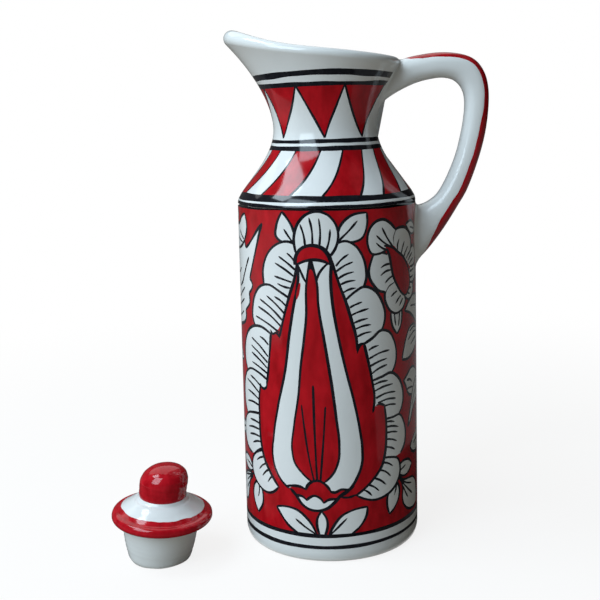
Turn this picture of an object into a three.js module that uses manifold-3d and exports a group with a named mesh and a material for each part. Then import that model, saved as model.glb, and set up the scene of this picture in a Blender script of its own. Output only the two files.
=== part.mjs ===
// Oil dispenser: a tall glazed jug with a pulled pouring lip, a strap handle and a loose stopper.
// Millimetres, +Z up. The origin is the centre of the jug's flat base.
// The pouring lip points along -X and the handle along +X. The stopper stands beside the jug.

import * as THREE from 'three';
import { mergeVertices } from 'three/addons/utils/BufferGeometryUtils.js';
import Module from 'manifold-3d';

// Jug: the turned body, from the base up
const baseRadius = 42.4;
const baseEdgeRound = 5;
const barrelRadiusLow = 44.9;
const barrelRadiusHigh = 43.9;
const barrelHeight = 172;
const shoulderRise = 35; // from the barrel's top to the waist
const waistRadius = 25.3;
const wall = 4;
const floorThickness = 6;
const floorCornerRound = 9;
const shoulderTurn = 6; // how long the wall keeps to the barrel's line before the shoulder falls away
const waistTurn = 15; // and how far below the waist it is drawn upright again

// Jug: the mouth, which flares from the waist to a rim that is pulled out into a lip
const rimRadius = 36.2;
const neckRise = 32.4; // from the waist to the rim
const rimSlope = 0.1; // how far the rim falls, for each millimetre towards the handle
const lipReach = 10.9; // how far the lip is pulled out past the round rim
const lipLift = 5.4; // and how far up
const lipSpread = 0.5; // half-width of the pulled stretch, as an angle in radians
const rimThickness = 5;
const rimThinning = 0.12; // how much of the rim's thickness is still there below its roll, as a share
const flareTurnLow = 10; // how long the flare keeps upright above the waist
const flareTurnHigh = 10; // and how far below the rim it has its last slope
const flareFullness = 0.42; // how far out it is there, as a share of the way from waist to rim
const lipTurnLow = 2; // the first is longer under the lip by this
const lipTurnHigh = 3; // and the second by this

// Handle: a strap of rounded section on a curve in the XZ plane
const handleWidth = 15;
const handleThicknessTop = 12.7; // the pulled strap thins from its top
const handleThicknessLow = 10.2; // to its foot
const handleTopFlare = 4; // extra thickness where the strap is luted to the neck
const handleLowFlare = 11; // and to the barrel
const handleFlareLength = 18; // how far along the strap a flare reaches
const handleFlareWidening = 0.35; // how much of a flare goes into the strap's width
const handleSquareness = 0.7; // the section's power: 1 is an ellipse, and less is squarer
const handleFootDrop = 15; // from the barrel's top to where the strap's centre line meets the wall
// The strap's centre line from the neck to its back, as steps out and up from the rim's edge
const handleUpperPoints = [
  [-14.2, -14.9], [8.8, -5.4], [20.8, -3.6], [30.7, -5.4], [35.8, -11.4], [37.1, -22.4]];
// and from there to the barrel, as steps out and up from where it meets the wall
const handleLowerPoints = [[27.9, 46.5], [23.7, 31.6], [17.3, 17.4], [9.7, 6.6], [-5.9, -6]];
const lutingGap = 0.3; // the glaze-thin line between the handle's roots and the wall

// Stopper: a tapered plug under a domed flange, with a knob modelled by hand on top
const plugClearance = 3.1; // between the plug's top and the throat's wall
const plugHeight = 19.4;
const plugDraft = 3; // how much narrower the plug is at its foot
const plugFootRound = 3;
const plugBelly = 0.6; // the height of its side's fullest curve, as a share of its height
const flangeOverhang = 6.4;
const flangeEdgeRise = 3; // from the flange's underside to its widest line
const flangeRise = 13.4; // from the flange's underside to the knob's seat
const flangeSag = 0.6; // how far the underside rises before it turns up to the edge
const flangeShoulderRise = 4.3; // from the widest line up to where the dome begins
const flangeShoulderTurn = 2.8; // how long the edge keeps upright on the way
const flangeShoulderShare = 0.18; // and how far in that is, as a share of the way to the knob
const knobSeatRadius = 11.4;
const knobFillet = 1.6; // where the flange rises to the knob
const knobRadius = 11.7;
const knobNeckDrawIn = 1.1; // how much the knob narrows above its foot
const knobHeight = 15.6;
// The heights of its outline's turns, as shares of its height: its foot, its neck, its belly and its crown
const knobFootTurn = 0.06;
const knobNeckTurn = 0.16;
const knobBellyStart = 0.24;
const knobBelly = 0.42;
const knobCrownTurn = 0.74;
const knobCrownFullness = 0.72; // and how far out the crown's curve is drawn, as a share of its radius
const knobLean = 2.4; // how far the knob's crown leans to +X
const stopperGap = 22.4; // between the barrel and the flange, where the stopper stands
const stopperBearing = 202; // and in which direction from the jug, in degrees from +X
const stopperLeanRight = 4; // its foot was cut a little out of square, so it leans, in degrees
const stopperLeanFront = 1.4;
const sideHollow = 0.2; // how far a side's curve is drawn in, on the plug, the flange and the knob

// Fineness of the facets
const jugSegments = 64;
const rimSteps = 6;
const stopperSegments = 40;
const handleSteps = 44;
const handleSides = 16;

const waistHeight = barrelHeight + shoulderRise;
const rimHeight = waistHeight + neckRise;

const glazedWhite = new THREE.MeshStandardMaterial({ color: 0xdfe3e2, roughness: 0.12, metalness: 0 });
const glazedRed = new THREE.MeshStandardMaterial({ color: 0xb0141c, roughness: 0.12, metalness: 0 });

const wasm = await Module();
wasm.setup();

function toSolid(geometry) {
  const bare = geometry.clone();
  bare.deleteAttribute('normal');
  bare.deleteAttribute('uv');
  const merged = mergeVertices(bare, 1e-4);
  return new wasm.Manifold(new wasm.Mesh({
    numProp: 3,
    vertProperties: merged.attributes.position.array,
    triVerts: new Uint32Array(merged.index.array),
  }));
}

function toGeometry(solid) {
  const mesh = solid.getMesh();
  const geometry = new THREE.BufferGeometry();
  geometry.setAttribute('position', new THREE.BufferAttribute(new Float32Array(mesh.vertProperties), 3));
  geometry.setIndex(new THREE.BufferAttribute(new Uint32Array(mesh.triVerts), 1));
  geometry.computeVertexNormals();
  return geometry;
}

// A closed skin over rings of points. Each ring has the same count, and a ring of one repeated
// point, such as a pole on the axis, closes its end.
function skin(rings) {
  const count = rings[0].length;
  const positions = [];
  const addTriangle = (a, b, c) => {
    if (a.distanceTo(b) < 1e-6 || b.distanceTo(c) < 1e-6 || c.distanceTo(a) < 1e-6) return;
    positions.push(a.x, a.y, a.z, b.x, b.y, b.z, c.x, c.y, c.z);
  };
  for (let i = 0; i + 1 < rings.length; i++) {
    for (let j = 0; j < count; j++) {
      const next = (j + 1) % count;
      addTriangle(rings[i][j], rings[i][next], rings[i + 1][next]);
      addTriangle(rings[i][j], rings[i + 1][next], rings[i + 1][j]);
    }
  }
  const geometry = new THREE.BufferGeometry();
  geometry.setAttribute('position', new THREE.Float32BufferAttribute(positions, 3));
  return geometry;
}

// Turns a meridian round the Z axis. meridianAt(angle) gives the (radius, height) points for that
// angle, from the axis at the base round to the axis again, so that the section may change round the rim.
function turned(meridianAt, segments) {
  const meridians = [];
  for (let j = 0; j < segments; j++) {
    const angle = (j / segments) * Math.PI * 2;
    meridians.push(meridianAt(angle).map((p) => new THREE.Vector3(
      p.x * Math.cos(angle), p.x * Math.sin(angle), p.y)));
  }
  return skin(meridians[0].map((_, i) => meridians.map((meridian) => meridian[i])));
}

// Moves each point of a meridian sideways by a distance, to the right of its direction of travel.
function offsetPoints(points, distance) {
  return points.map((p, i) => {
    const before = points[Math.max(i - 1, 0)];
    const after = points[Math.min(i + 1, points.length - 1)];
    const along = after.clone().sub(before).normalize();
    return new THREE.Vector2(p.x + along.y * distance, p.y - along.x * distance);
  });
}

const bezier = (...points) => new THREE.CubicBezierCurve(...points.map(([x, y]) => new THREE.Vector2(x, y)));

// How much of the lip's pull a direction gets: 1 at the lip's tip (-X), fading to 0 round the rim.
function lipShare(angle) {
  const away = Math.PI - Math.abs(Math.atan2(Math.sin(angle), Math.cos(angle)));
  return Math.exp(-0.5 * (away / lipSpread) ** 2);
}

// The outer side of the jug's wall, from the barrel's foot to the rim's outer edge.
function outerWall(angle) {
  const share = lipShare(angle);
  const edgeRadius = rimRadius + lipReach * share;
  const edgeHeight = rimHeight + lipLift * share - rimSlope * edgeRadius * Math.cos(angle);
  const shoulder = bezier(
    [barrelRadiusHigh, barrelHeight], [barrelRadiusHigh, barrelHeight + shoulderTurn],
    [waistRadius, waistHeight - waistTurn], [waistRadius, waistHeight]);
  const lowTurn = flareTurnLow + lipTurnLow * share;
  const highTurn = flareTurnHigh + lipTurnHigh * share;
  const flare = bezier(
    [waistRadius, waistHeight], [waistRadius, waistHeight + lowTurn],
    [THREE.MathUtils.lerp(waistRadius, edgeRadius, flareFullness), edgeHeight - highTurn],
    [edgeRadius, edgeHeight]);
  return [
    new THREE.Vector2(barrelRadiusLow, baseEdgeRound),
    new THREE.Vector2((barrelRadiusLow + barrelRadiusHigh) / 2, (baseEdgeRound + barrelHeight) / 2),
    ...shoulder.getPoints(9),
    ...flare.getPoints(10).slice(1),
  ];
}

// The flat base and the round at its edge.
function baseEdge() {
  const round = new THREE.QuadraticBezierCurve(
    new THREE.Vector2(baseRadius, 0),
    new THREE.Vector2(barrelRadiusLow, 0),
    new THREE.Vector2(barrelRadiusLow, baseEdgeRound));
  return [new THREE.Vector2(0, 0), ...round.getPoints(4).slice(0, -1)];
}

// The rolled rim: a half circle from the wall's outer edge over to the inside.
function rolledRim(outer) {
  const edge = outer[outer.length - 1];
  const along = edge.clone().sub(outer[outer.length - 2]).normalize();
  const across = new THREE.Vector2(-along.y, along.x);
  const rim = [];
  for (let k = 1; k <= rimSteps; k++) {
    const turn = (k / rimSteps) * Math.PI;
    rim.push(edge.clone()
      .addScaledVector(across, (1 - Math.cos(turn)) * rimThickness / 2)
      .addScaledVector(along, Math.sin(turn) * rimThickness / 2));
  }
  return rim;
}

function jugMeridian(angle) {
  const outer = outerWall(angle);
  const rim = rolledRim(outer);
  // The wall thins from the rim's thickness to its own over the top of the flare.
  const inner = offsetPoints(outer, -wall).slice(2, -1);
  inner[inner.length - 1].lerp(rim[rim.length - 1], rimThinning);
  const innerRadius = barrelRadiusLow - wall;
  const corner = new THREE.QuadraticBezierCurve(
    new THREE.Vector2(innerRadius, floorThickness + floorCornerRound),
    new THREE.Vector2(innerRadius, floorThickness),
    new THREE.Vector2(innerRadius - floorCornerRound, floorThickness));
  return [...baseEdge(), ...outer, ...rim, ...inner.reverse(), ...corner.getPoints(4),
    new THREE.Vector2(0, floorThickness)];
}

// A solid that fills the jug out to its outer wall and a gap beyond, for trimming the handle's roots.
function jugEnvelope(gap) {
  const meridianAt = (angle) => {
    const outer = outerWall(angle);
    const side = offsetPoints([...outer, ...rolledRim(outer)], gap).slice(0, -2);
    const top = side[side.length - 1];
    return [new THREE.Vector2(0, 0), ...side, new THREE.Vector2(0, top.y + gap)];
  };
  return toSolid(turned(meridianAt, jugSegments));
}

// The strap: a rounded section swept along its centre line, thicker where it is luted on.
function handleGeometry() {
  const from = (x, z) => ([out, up]) => new THREE.Vector2(x + out, z + up);
  const centre = new THREE.SplineCurve([
    ...handleUpperPoints.map(from(rimRadius, rimHeight)),
    ...handleLowerPoints.map(from(barrelRadiusHigh, barrelHeight - handleFootDrop))]);
  const length = centre.getLength();
  const rounded = (turn) => Math.sign(turn) * Math.abs(turn) ** handleSquareness;
  const rings = [];
  for (let i = 0; i <= handleSteps; i++) {
    const share = i / handleSteps;
    const point = centre.getPointAt(share);
    const along = centre.getTangentAt(share);
    const topFlare = handleTopFlare * Math.exp(-((share * length / handleFlareLength) ** 2));
    const lowFlare = handleLowFlare * Math.exp(-(((1 - share) * length / handleFlareLength) ** 2));
    const flare = topFlare + lowFlare;
    const halfThickness = (THREE.MathUtils.lerp(handleThicknessTop, handleThicknessLow, share) + flare) / 2;
    const halfWidth = (handleWidth + flare * handleFlareWidening) / 2;
    const ring = [];
    for (let k = 0; k < handleSides; k++) {
      const turn = (k / handleSides) * Math.PI * 2;
      const across = rounded(Math.cos(turn)) * halfThickness;
      const side = rounded(Math.sin(turn)) * halfWidth;
      ring.push(new THREE.Vector3(point.x + along.y * across, side, point.y - along.x * across));
    }
    rings.push(ring);
  }
  const capped = (ring) => {
    const middle = ring.reduce((sum, p) => sum.add(p), new THREE.Vector3()).divideScalar(ring.length);
    return ring.map(() => middle.clone());
  };
  const strap = skin([capped(rings[0]), ...rings, capped(rings[handleSteps])]);
  return toGeometry(toSolid(strap).subtract(jugEnvelope(lutingGap)));
}

// Leans a piece of the stopper about the centre of its foot, as it stands beside the jug.
const stopperLean = new THREE.Matrix4().makeRotationFromEuler(new THREE.Euler(
  THREE.MathUtils.degToRad(stopperLeanFront), THREE.MathUtils.degToRad(stopperLeanRight), 0));

// The plug and its flange are one turned piece, which stands on the plug's foot.
const plugRadius = waistRadius - wall - plugClearance;
const flangeRadius = plugRadius + flangeOverhang;
const knobSeat = plugHeight + flangeRise;

function stopperPlugGeometry() {
  const foot = plugRadius - plugDraft;
  const widest = plugHeight + flangeEdgeRise;
  const shoulderRadius = THREE.MathUtils.lerp(flangeRadius, knobSeatRadius, flangeShoulderShare);
  const spare = 2; // below the floor, for the flat cut
  const profile = new THREE.Path();
  profile.moveTo(0, -spare);
  profile.lineTo(foot - plugFootRound, -spare);
  profile.quadraticCurveTo(foot, -spare, foot, plugFootRound);
  profile.quadraticCurveTo(plugRadius - sideHollow, plugHeight * plugBelly, plugRadius, plugHeight);
  profile.quadraticCurveTo(flangeRadius - sideHollow, plugHeight + flangeSag, flangeRadius, widest);
  profile.quadraticCurveTo(
    flangeRadius, widest + flangeShoulderTurn, shoulderRadius, widest + flangeShoulderRise);
  profile.lineTo(knobSeatRadius + knobFillet, knobSeat - knobFillet);
  profile.lineTo(knobSeatRadius, knobSeat);
  profile.lineTo(0, knobSeat);
  const leaned = turned(() => profile.getPoints(5), stopperSegments).applyMatrix4(stopperLean);
  const ground = new THREE.BoxGeometry(4 * plugRadius, 4 * plugRadius, 4 * spare);
  ground.translate(0, 0, -2 * spare);
  return toGeometry(toSolid(leaned).subtract(toSolid(ground)));
}

// The knob leans, and is drawn in above its foot.
function knobGeometry() {
  const neck = knobRadius - knobNeckDrawIn;
  const up = (share) => knobHeight * share;
  const profile = new THREE.Path();
  profile.moveTo(0, 0);
  profile.lineTo(knobSeatRadius, 0);
  profile.quadraticCurveTo(neck, up(knobFootTurn), neck, up(knobNeckTurn));
  profile.quadraticCurveTo(knobRadius - sideHollow, up(knobBellyStart), knobRadius, up(knobBelly));
  profile.bezierCurveTo(
    knobRadius, up(knobCrownTurn), knobRadius * knobCrownFullness, knobHeight, 0, knobHeight);
  const points = profile.getPoints(6);
  const geometry = turned(() => points, stopperSegments);
  const position = geometry.attributes.position;
  for (let i = 0; i < position.count; i++) {
    const share = position.getZ(i) / knobHeight;
    position.setX(i, position.getX(i) + knobLean * share * share);
  }
  geometry.translate(0, 0, knobSeat + lutingGap);
  return geometry.applyMatrix4(stopperLean);
}

function piece(name, geometry, material) {
  const mesh = new THREE.Mesh(geometry, material);
  mesh.name = name;
  return mesh;
}

const jug = new THREE.Group();
jug.add(piece('jug_body', turned(jugMeridian, jugSegments), glazedWhite));
jug.add(piece('handle', handleGeometry(), glazedWhite));

const stopper = new THREE.Group();
const stopperDistance = barrelRadiusLow + stopperGap + flangeRadius;
const stopperAngle = THREE.MathUtils.degToRad(stopperBearing);
stopper.position.set(stopperDistance * Math.cos(stopperAngle), stopperDistance * Math.sin(stopperAngle), 0);
stopper.add(piece('stopper_plug', stopperPlugGeometry(), glazedWhite));
stopper.add(piece('stopper_knob', knobGeometry(), glazedRed));

const dispenser = new THREE.Group();
dispenser.add(jug, stopper);

export default dispenser;
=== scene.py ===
# %% [markdown]
# # A hand-painted oil dispenser
# This script dresses a tall glazed jug, its loop handle and its stopper, which stands beside it.
# The solid parts come from the frame: the jug's body and handle, the stopper's plug and knob.
# They are faceted and have one colour, so each is replaced here by a finer surface of the same size.
# All sizes below are written in millimetres, and a mesh gets them in metres, as Blender wants.

# %% Load the frame
import functools
import math
import random

import bmesh
import bpy
import numpy as np
from mathutils import Euler, Matrix, Vector, kdtree
from mathutils.geometry import delaunay_2d_cdt


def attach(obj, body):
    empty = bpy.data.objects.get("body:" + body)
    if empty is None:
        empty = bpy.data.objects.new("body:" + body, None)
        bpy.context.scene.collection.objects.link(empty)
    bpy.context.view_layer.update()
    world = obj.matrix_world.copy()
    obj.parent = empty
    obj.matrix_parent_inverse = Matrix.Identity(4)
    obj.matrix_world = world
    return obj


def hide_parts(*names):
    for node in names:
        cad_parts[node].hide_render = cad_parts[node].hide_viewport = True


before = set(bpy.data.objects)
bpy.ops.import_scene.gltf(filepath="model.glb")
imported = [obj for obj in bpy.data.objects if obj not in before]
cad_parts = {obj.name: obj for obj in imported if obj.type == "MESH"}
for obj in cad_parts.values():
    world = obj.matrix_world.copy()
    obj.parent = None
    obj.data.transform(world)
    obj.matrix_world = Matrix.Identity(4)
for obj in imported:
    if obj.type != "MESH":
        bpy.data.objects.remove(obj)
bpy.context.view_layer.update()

MM = 0.001

# %% [markdown]
# ## The camera
# The picture was taken from a little above, about half a metre away, with a slight tilt of the camera.
# The lens and the three angles were found by matching the jug's outline. The view has no shift and no
# depth of field, so the same camera also serves the other sides.

# %% Place the camera
VIEW_FROM = Vector((0.0, -475.6, 215.0)) * MM
VIEW_DOWN, VIEW_LEFT, VIEW_TILT = math.radians(11.11), math.radians(-1.72), math.radians(-1.36)
FOCAL_PIXELS, IMAGE_PIXELS, SENSOR = 956.0, 600.0, 36.0


def add_object(name, data):
    item = bpy.data.objects.new(name, data)
    bpy.context.collection.objects.link(item)
    return item


def add_camera():
    ahead = Vector((math.sin(VIEW_LEFT) * math.cos(VIEW_DOWN),
                    math.cos(VIEW_LEFT) * math.cos(VIEW_DOWN), -math.sin(VIEW_DOWN)))
    level = Vector((math.cos(VIEW_LEFT), -math.sin(VIEW_LEFT), 0.0))
    above = level.cross(ahead)
    right = level * math.cos(VIEW_TILT) + above * math.sin(VIEW_TILT)
    up = above * math.cos(VIEW_TILT) - level * math.sin(VIEW_TILT)
    camera = add_object("camera", bpy.data.cameras.new("camera"))
    camera.data.sensor_width = SENSOR
    camera.data.lens = FOCAL_PIXELS / IMAGE_PIXELS * SENSOR
    camera.data.clip_start, camera.data.clip_end = 0.01, 50.0
    turn = Matrix((right, up, -ahead)).transposed().to_4x4()
    camera.matrix_world = Matrix.Translation(VIEW_FROM) @ turn
    bpy.context.scene.camera = camera
    print("lens, mm:", round(camera.data.lens, 2))


add_camera()

# %% [markdown]
# ## Building nodes
# Every material, light and shape rule below is a small graph of nodes. These helpers add a node with its
# inputs, and make a node group with named sockets. A Number is a node's output that can stand in a sum:
# each operation on it adds one Math node, so that a rule reads as it would on paper.

# %% Helpers that add nodes
def put(tree, socket, value):
    """Gives a socket a plain value, or joins it to another node's output."""
    value = getattr(value, "socket", value)
    if isinstance(value, bpy.types.NodeSocket):
        tree.links.new(value, socket)
    else:
        socket.default_value = value


def add_node(tree, kind, inputs=None, **settings):
    node = tree.nodes.new(kind)
    for name, value in settings.items():
        setattr(node, name, value)
    for name, value in (inputs or {}).items():
        put(tree, node.inputs[name], value)
    return node


def output(tree, kind, inputs=None, name=0, **settings):
    """Adds a node and returns one of its outputs."""
    return Number(tree, add_node(tree, kind, inputs, **settings).outputs[name])


print("ready: put, add_node and output")

# %% Let a node's output stand in a sum
def reckon(operation, *values, clamp=False):
    """Adds a Math node to the tree that its values come from, and returns its output."""
    tree = next(value.tree for value in values if isinstance(value, Number))
    return output(tree, "ShaderNodeMath", dict(enumerate(values)), operation=operation, use_clamp=clamp)


class Number:
    """A node's output. Each operation on it adds one Math node."""
    def __init__(self, tree, socket):
        self.tree, self.socket = tree, socket

    def __add__(self, other):
        return reckon("ADD", self, other)

    def __sub__(self, other):
        return reckon("SUBTRACT", self, other)

    def __rsub__(self, other):
        return reckon("SUBTRACT", other, self)

    def __mul__(self, other):
        return reckon("MULTIPLY", self, other)

    def __truediv__(self, other):
        return reckon("DIVIDE", self, other)

    def __rtruediv__(self, other):
        return reckon("DIVIDE", other, self)

    def __mod__(self, other):
        return reckon("MODULO", self, other)

    def __pow__(self, other):
        return reckon("POWER", self, other)


print("ready: reckon and Number, with + - * / % and **")

# %% Helpers for node groups, vectors, colours and materials
def node_group(name, kind, inputs, outputs):
    """A node group. inputs lists (name, socket type, default) and outputs (name, socket type). Returns the
    group's tree, a function that reads an input by its name, and the sockets of its output node."""
    tree = bpy.data.node_groups.new(name, kind)
    for label, socket_type, default in inputs:
        socket = tree.interface.new_socket(label, in_out="INPUT", socket_type="NodeSocket" + socket_type)
        if default is not None:
            socket.default_value = default
    for label, socket_type in outputs:
        tree.interface.new_socket(label, in_out="OUTPUT", socket_type="NodeSocket" + socket_type)
    given = add_node(tree, "NodeGroupInput")
    return tree, lambda label: Number(tree, given.outputs[label]), add_node(tree, "NodeGroupOutput").inputs


def grouped(tree, group, name, **values):
    """Places a node group in a tree with its own values, and returns its output of that name."""
    inputs = {label.replace("_", " "): value for label, value in values.items()}
    return output(tree, "ShaderNodeGroup", inputs, name, node_tree=group)


def vector(tree, operation, *values):
    return output(tree, "ShaderNodeVectorMath", dict(enumerate(values)), operation=operation)


def scaled(tree, first, factor):
    return output(tree, "ShaderNodeVectorMath", {0: first, "Scale": factor}, operation="SCALE")


def split(tree, place):
    """The three Numbers of a vector."""
    parts = add_node(tree, "ShaderNodeSeparateXYZ", {0: place}).outputs
    return [Number(tree, part) for part in parts]


def mixed_colour(tree, factor, first, second):
    return output(tree, "ShaderNodeMix", {0: factor, 6: first, 7: second}, 2, data_type="RGBA")


def new_material(name):
    material = bpy.data.materials.new(name)
    material.use_nodes = True
    return material, material.node_tree


print("ready: node_group, grouped, vector, scaled, split, mixed_colour and new_material")

# %% [markdown]
# ## Floor, background and light
# The object stands on a plain pale floor that keeps its shadow. Far from the object the floor turns into
# the same white as the world behind it, for the rays of the camera and of mirrors only, so no horizon
# shows and no light is added for it. One large soft lamp stands at the left, as a window would, with a
# weaker one above it. Both are slightly cool, and the world's own light, which fills the shade, is warm.

# %% Set the view's colours
bpy.context.scene.view_settings.view_transform = "Standard"
print("view transform:", bpy.context.scene.view_settings.view_transform)

# %% Make the world
WORLD_LEVEL, WORLD_COLOUR = 0.52, (1.0, 0.94, 0.85, 1.0)


def seen_rays(tree):
    """1 for a ray that shows the background: straight from the camera, in a gloss or through glass."""
    path = add_node(tree, "ShaderNodeLightPath").outputs
    direct, gloss, glass = (Number(tree, path[name]) for name in
                            ("Is Camera Ray", "Is Glossy Ray", "Is Transmission Ray"))
    return reckon("MAXIMUM", reckon("MAXIMUM", direct, gloss), glass)


def make_world():
    world = bpy.data.worlds.new("pale room")
    world.use_nodes = True
    bpy.context.scene.world = world
    tree = world.node_tree
    tree.nodes.clear()
    behind = output(tree, "ShaderNodeBackground", {"Color": (1.0, 1.0, 1.0, 1.0)})
    around = output(tree, "ShaderNodeBackground", {"Color": WORLD_COLOUR, "Strength": WORLD_LEVEL})
    choose = output(tree, "ShaderNodeMixShader", {"Fac": seen_rays(tree), 1: around, 2: behind})
    add_node(tree, "ShaderNodeOutputWorld", {"Surface": choose})


make_world()
print("world level:", WORLD_LEVEL)

# %% Make the floor
FLOOR_HALF, FLOOR_NEAR, FLOOR_FAR, FLOOR_WHITE = 3000.0, 150.0, 600.0, 0.84
# The paper looks pale, and the light that it throws back on the object is that of a greyish floor.
PAPER_LIT, PAPER_SEEN = (0.38, 0.33, 0.27, 1.0), (0.9, 0.9, 0.9, 1.0)


def floor_material():
    material, tree = new_material("pale floor")
    tree.nodes.clear()
    seen = seen_rays(tree)
    paper = output(tree, "ShaderNodeBsdfDiffuse", {"Color": mixed_colour(tree, seen, PAPER_LIT, PAPER_SEEN)})
    place = output(tree, "ShaderNodeTexCoord", name="Object")
    reach = output(tree, "ShaderNodeVectorMath", {0: place}, "Value", operation="LENGTH")
    fade = output(tree, "ShaderNodeMapRange", {
        "Value": reach, "From Min": FLOOR_NEAR * MM, "From Max": FLOOR_FAR * MM, "To Min": FLOOR_WHITE},
        "Result", interpolation_type="SMOOTHSTEP")
    white = output(tree, "ShaderNodeEmission")
    choose = output(tree, "ShaderNodeMixShader", {"Fac": seen * fade, 1: paper, 2: white})
    add_node(tree, "ShaderNodeOutputMaterial", {"Surface": choose})
    return material


def add_sheet(name, points, faces, material):
    mesh = bpy.data.meshes.new(name)
    mesh.from_pydata(points, [], faces)
    mesh.materials.append(material)
    return add_object(name, mesh)


half = FLOOR_HALF * MM
floor_corners = [(-half, -half, 0), (half, -half, 0), (half, half, 0), (-half, half, 0)]
floor = add_sheet("floor", floor_corners, [(0, 1, 2, 3)], floor_material())
print("floor, m:", round(2 * half, 1))

# %% Add the lamps
# Name, place, aim and size in m, power in W, and colour
LAMPS = [
    ("window lamp", (-0.87, -1.0, 1.0), (0.0, 0.0, 0.12), (0.9, 1.25), 20.6, (0.71, 0.875, 1.0)),
    ("high lamp", (-0.85, -0.12, 1.35), (0.0, 0.0, 0.15), (0.5, 0.6), 7.8, (0.76, 0.90, 1.0))]


def add_lamp(name, place, aim, size, power, colour):
    lamp = add_object(name, bpy.data.lights.new(name, "AREA"))
    lamp.data.shape = "RECTANGLE"
    lamp.data.size, lamp.data.size_y = size
    lamp.data.energy, lamp.data.color = power, colour
    lamp.location = Vector(place)
    lamp.rotation_euler = (Vector(aim) - Vector(place)).to_track_quat("-Z", "Y").to_euler()


for lamp_values in LAMPS:
    add_lamp(*lamp_values)
print("lamps:", len(LAMPS))

# %% [markdown]
# A glossy jug mirrors the room all round it, and a white room would lay a pale veil over its reds and
# blacks. So dark cards stand round it, as in a studio, and the camera doesn't see them. One is a tall
# card in front and at the right, which darkens that side of the object. The others are a dark tent and
# sheets on the floor, and only the gloss of the glaze sees them. Some of the sheets are grey, and they
# give the soft veils that the glaze has at the right and at the upper left.

# %% Stand the dark cards round the object
CARD_STEPS = 40
TENT_WALL, TENT_TOP = [(2.3, 0.0), (2.3, 1.4)], [(1.1, 2.8), (0.0, 3.0)]
TENT_SLOPE = [(2.3, 1.4), (1.9, 2.2), (1.1, 2.8)]
# Tone, profile in m, and the two angles of each part of the tent
TENT_PARTS = [
    (0.05, TENT_WALL, -205.0, 70.0), (0.16, TENT_WALL, 70.0, 155.0), (0.2, TENT_SLOPE, -205.0, -110.0),
    (0.08, TENT_SLOPE, -110.0, -25.0), (0.34, TENT_SLOPE, -25.0, 70.0), (0.06, TENT_TOP, -205.0, 70.0)]
# Tone, nearest and farthest reach in m, and the two angles of each sheet on the floor
FLOOR_SHEETS = [
    (0.03, 0.046, 2.3, -150.0, -75.0), (0.03, 0.046, 0.5, -205.0, -150.0), (0.34, 0.5, 2.3, -205.0, -150.0),
    (0.03, 0.046, 0.7, -75.0, -35.0), (0.13, 0.7, 2.3, -75.0, -35.0), (0.03, 0.046, 0.17, -35.0, 70.0),
    (0.24, 0.17, 2.3, -35.0, 70.0), (0.13, 0.046, 2.3, 70.0, 155.0)]
SHEET_HEIGHT = 0.0005  # m


def add_card(name, tone, profile, turn_from, turn_to):
    """A card bent round the object: (radius, height) in m, turned from one angle to another."""
    turns = [math.radians(turn_from + (turn_to - turn_from) * k / CARD_STEPS) for k in range(CARD_STEPS + 1)]
    points = [(r * math.cos(t), r * math.sin(t), z) for t in turns for r, z in profile]
    across = len(profile)
    faces = [(a, a + across, a + across + 1, a + 1)
             for k in range(CARD_STEPS) for a in range(k * across, (k + 1) * across - 1)]
    material, tree = new_material(name)
    shader = tree.nodes["Principled BSDF"]
    put(tree, shader.inputs["Base Color"], (tone, tone, tone, 1.0))
    put(tree, shader.inputs["Roughness"], 1.0)
    card = add_sheet(name, points, faces, material)
    card.visible_camera = False
    return card


side_card = add_card("side card", 0.1, [(1.7, 0.0), (1.7, 3.2)], -100.0, 60.0)
side_card.visible_glossy = False
gloss_cards = [add_card("tent", *part) for part in TENT_PARTS]
for tone, near, far, turn_from, turn_to in FLOOR_SHEETS:
    profile = [(near, SHEET_HEIGHT), (far, SHEET_HEIGHT)]
    gloss_cards.append(add_card("floor sheet", tone, profile, turn_from, turn_to))
for card in gloss_cards:
    card.visible_diffuse = card.visible_shadow = card.visible_transmission = False
print("cards:", 1 + len(gloss_cards))

# %% [markdown]
# ## Glaze and paint
# The real ware is white stoneware, painted under a clear, glossy glaze. So white, red and black share one
# smooth surface, and only their colour differs. Two shader groups are used by all of them. One gives the
# glaze its slow ripples and its few pinholes. The other varies a colour as a brush does, where one stroke
# laps over the next.

# %% Make the group for the surface of the glaze
PINHOLE_CELLS = 0.11  # cells per mm, and a pinhole lies in the middle of some of them
PINHOLE_SHARE, PINHOLE_DEPTH = 0.62, 0.35


def glaze_surface_group():
    tree, given, result = node_group(
        "glaze surface", "ShaderNodeTree", [("Ripple Size", "Float", 9.0), ("Pinhole Size", "Float", 0.16)],
        [("Height", "Float"), ("Pinholes", "Float")])
    place = output(tree, "ShaderNodeTexCoord", name="Object")
    in_mm = scaled(tree, place, 1.0 / MM)
    ripple = output(tree, "ShaderNodeTexNoise", {
        "Vector": in_mm, "Scale": 1.0 / given("Ripple Size"), "Detail": 1.0}, "Fac")
    cells = add_node(tree, "ShaderNodeTexVoronoi", {"Vector": in_mm, "Scale": PINHOLE_CELLS}).outputs
    # The Voronoi distance is in cells, so it is taken back into mm.
    away = Number(tree, cells["Distance"]) / given("Pinhole Size") / PINHOLE_CELLS
    rare = reckon("GREATER_THAN", Number(tree, cells["Color"]), PINHOLE_SHARE)
    hole = reckon("SUBTRACT", 1.0, away, clamp=True) * rare
    put(tree, result["Height"], ripple - hole * PINHOLE_DEPTH)
    put(tree, result["Pinholes"], hole)
    return tree


glaze_surface = glaze_surface_group()
print("group:", glaze_surface.name)

# %% Make the group for brushed paint
DRIFT_SCALE, DRIFT_REACH = 22.0, 0.012  # a stroke wanders, so the place is bent first, in m


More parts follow.
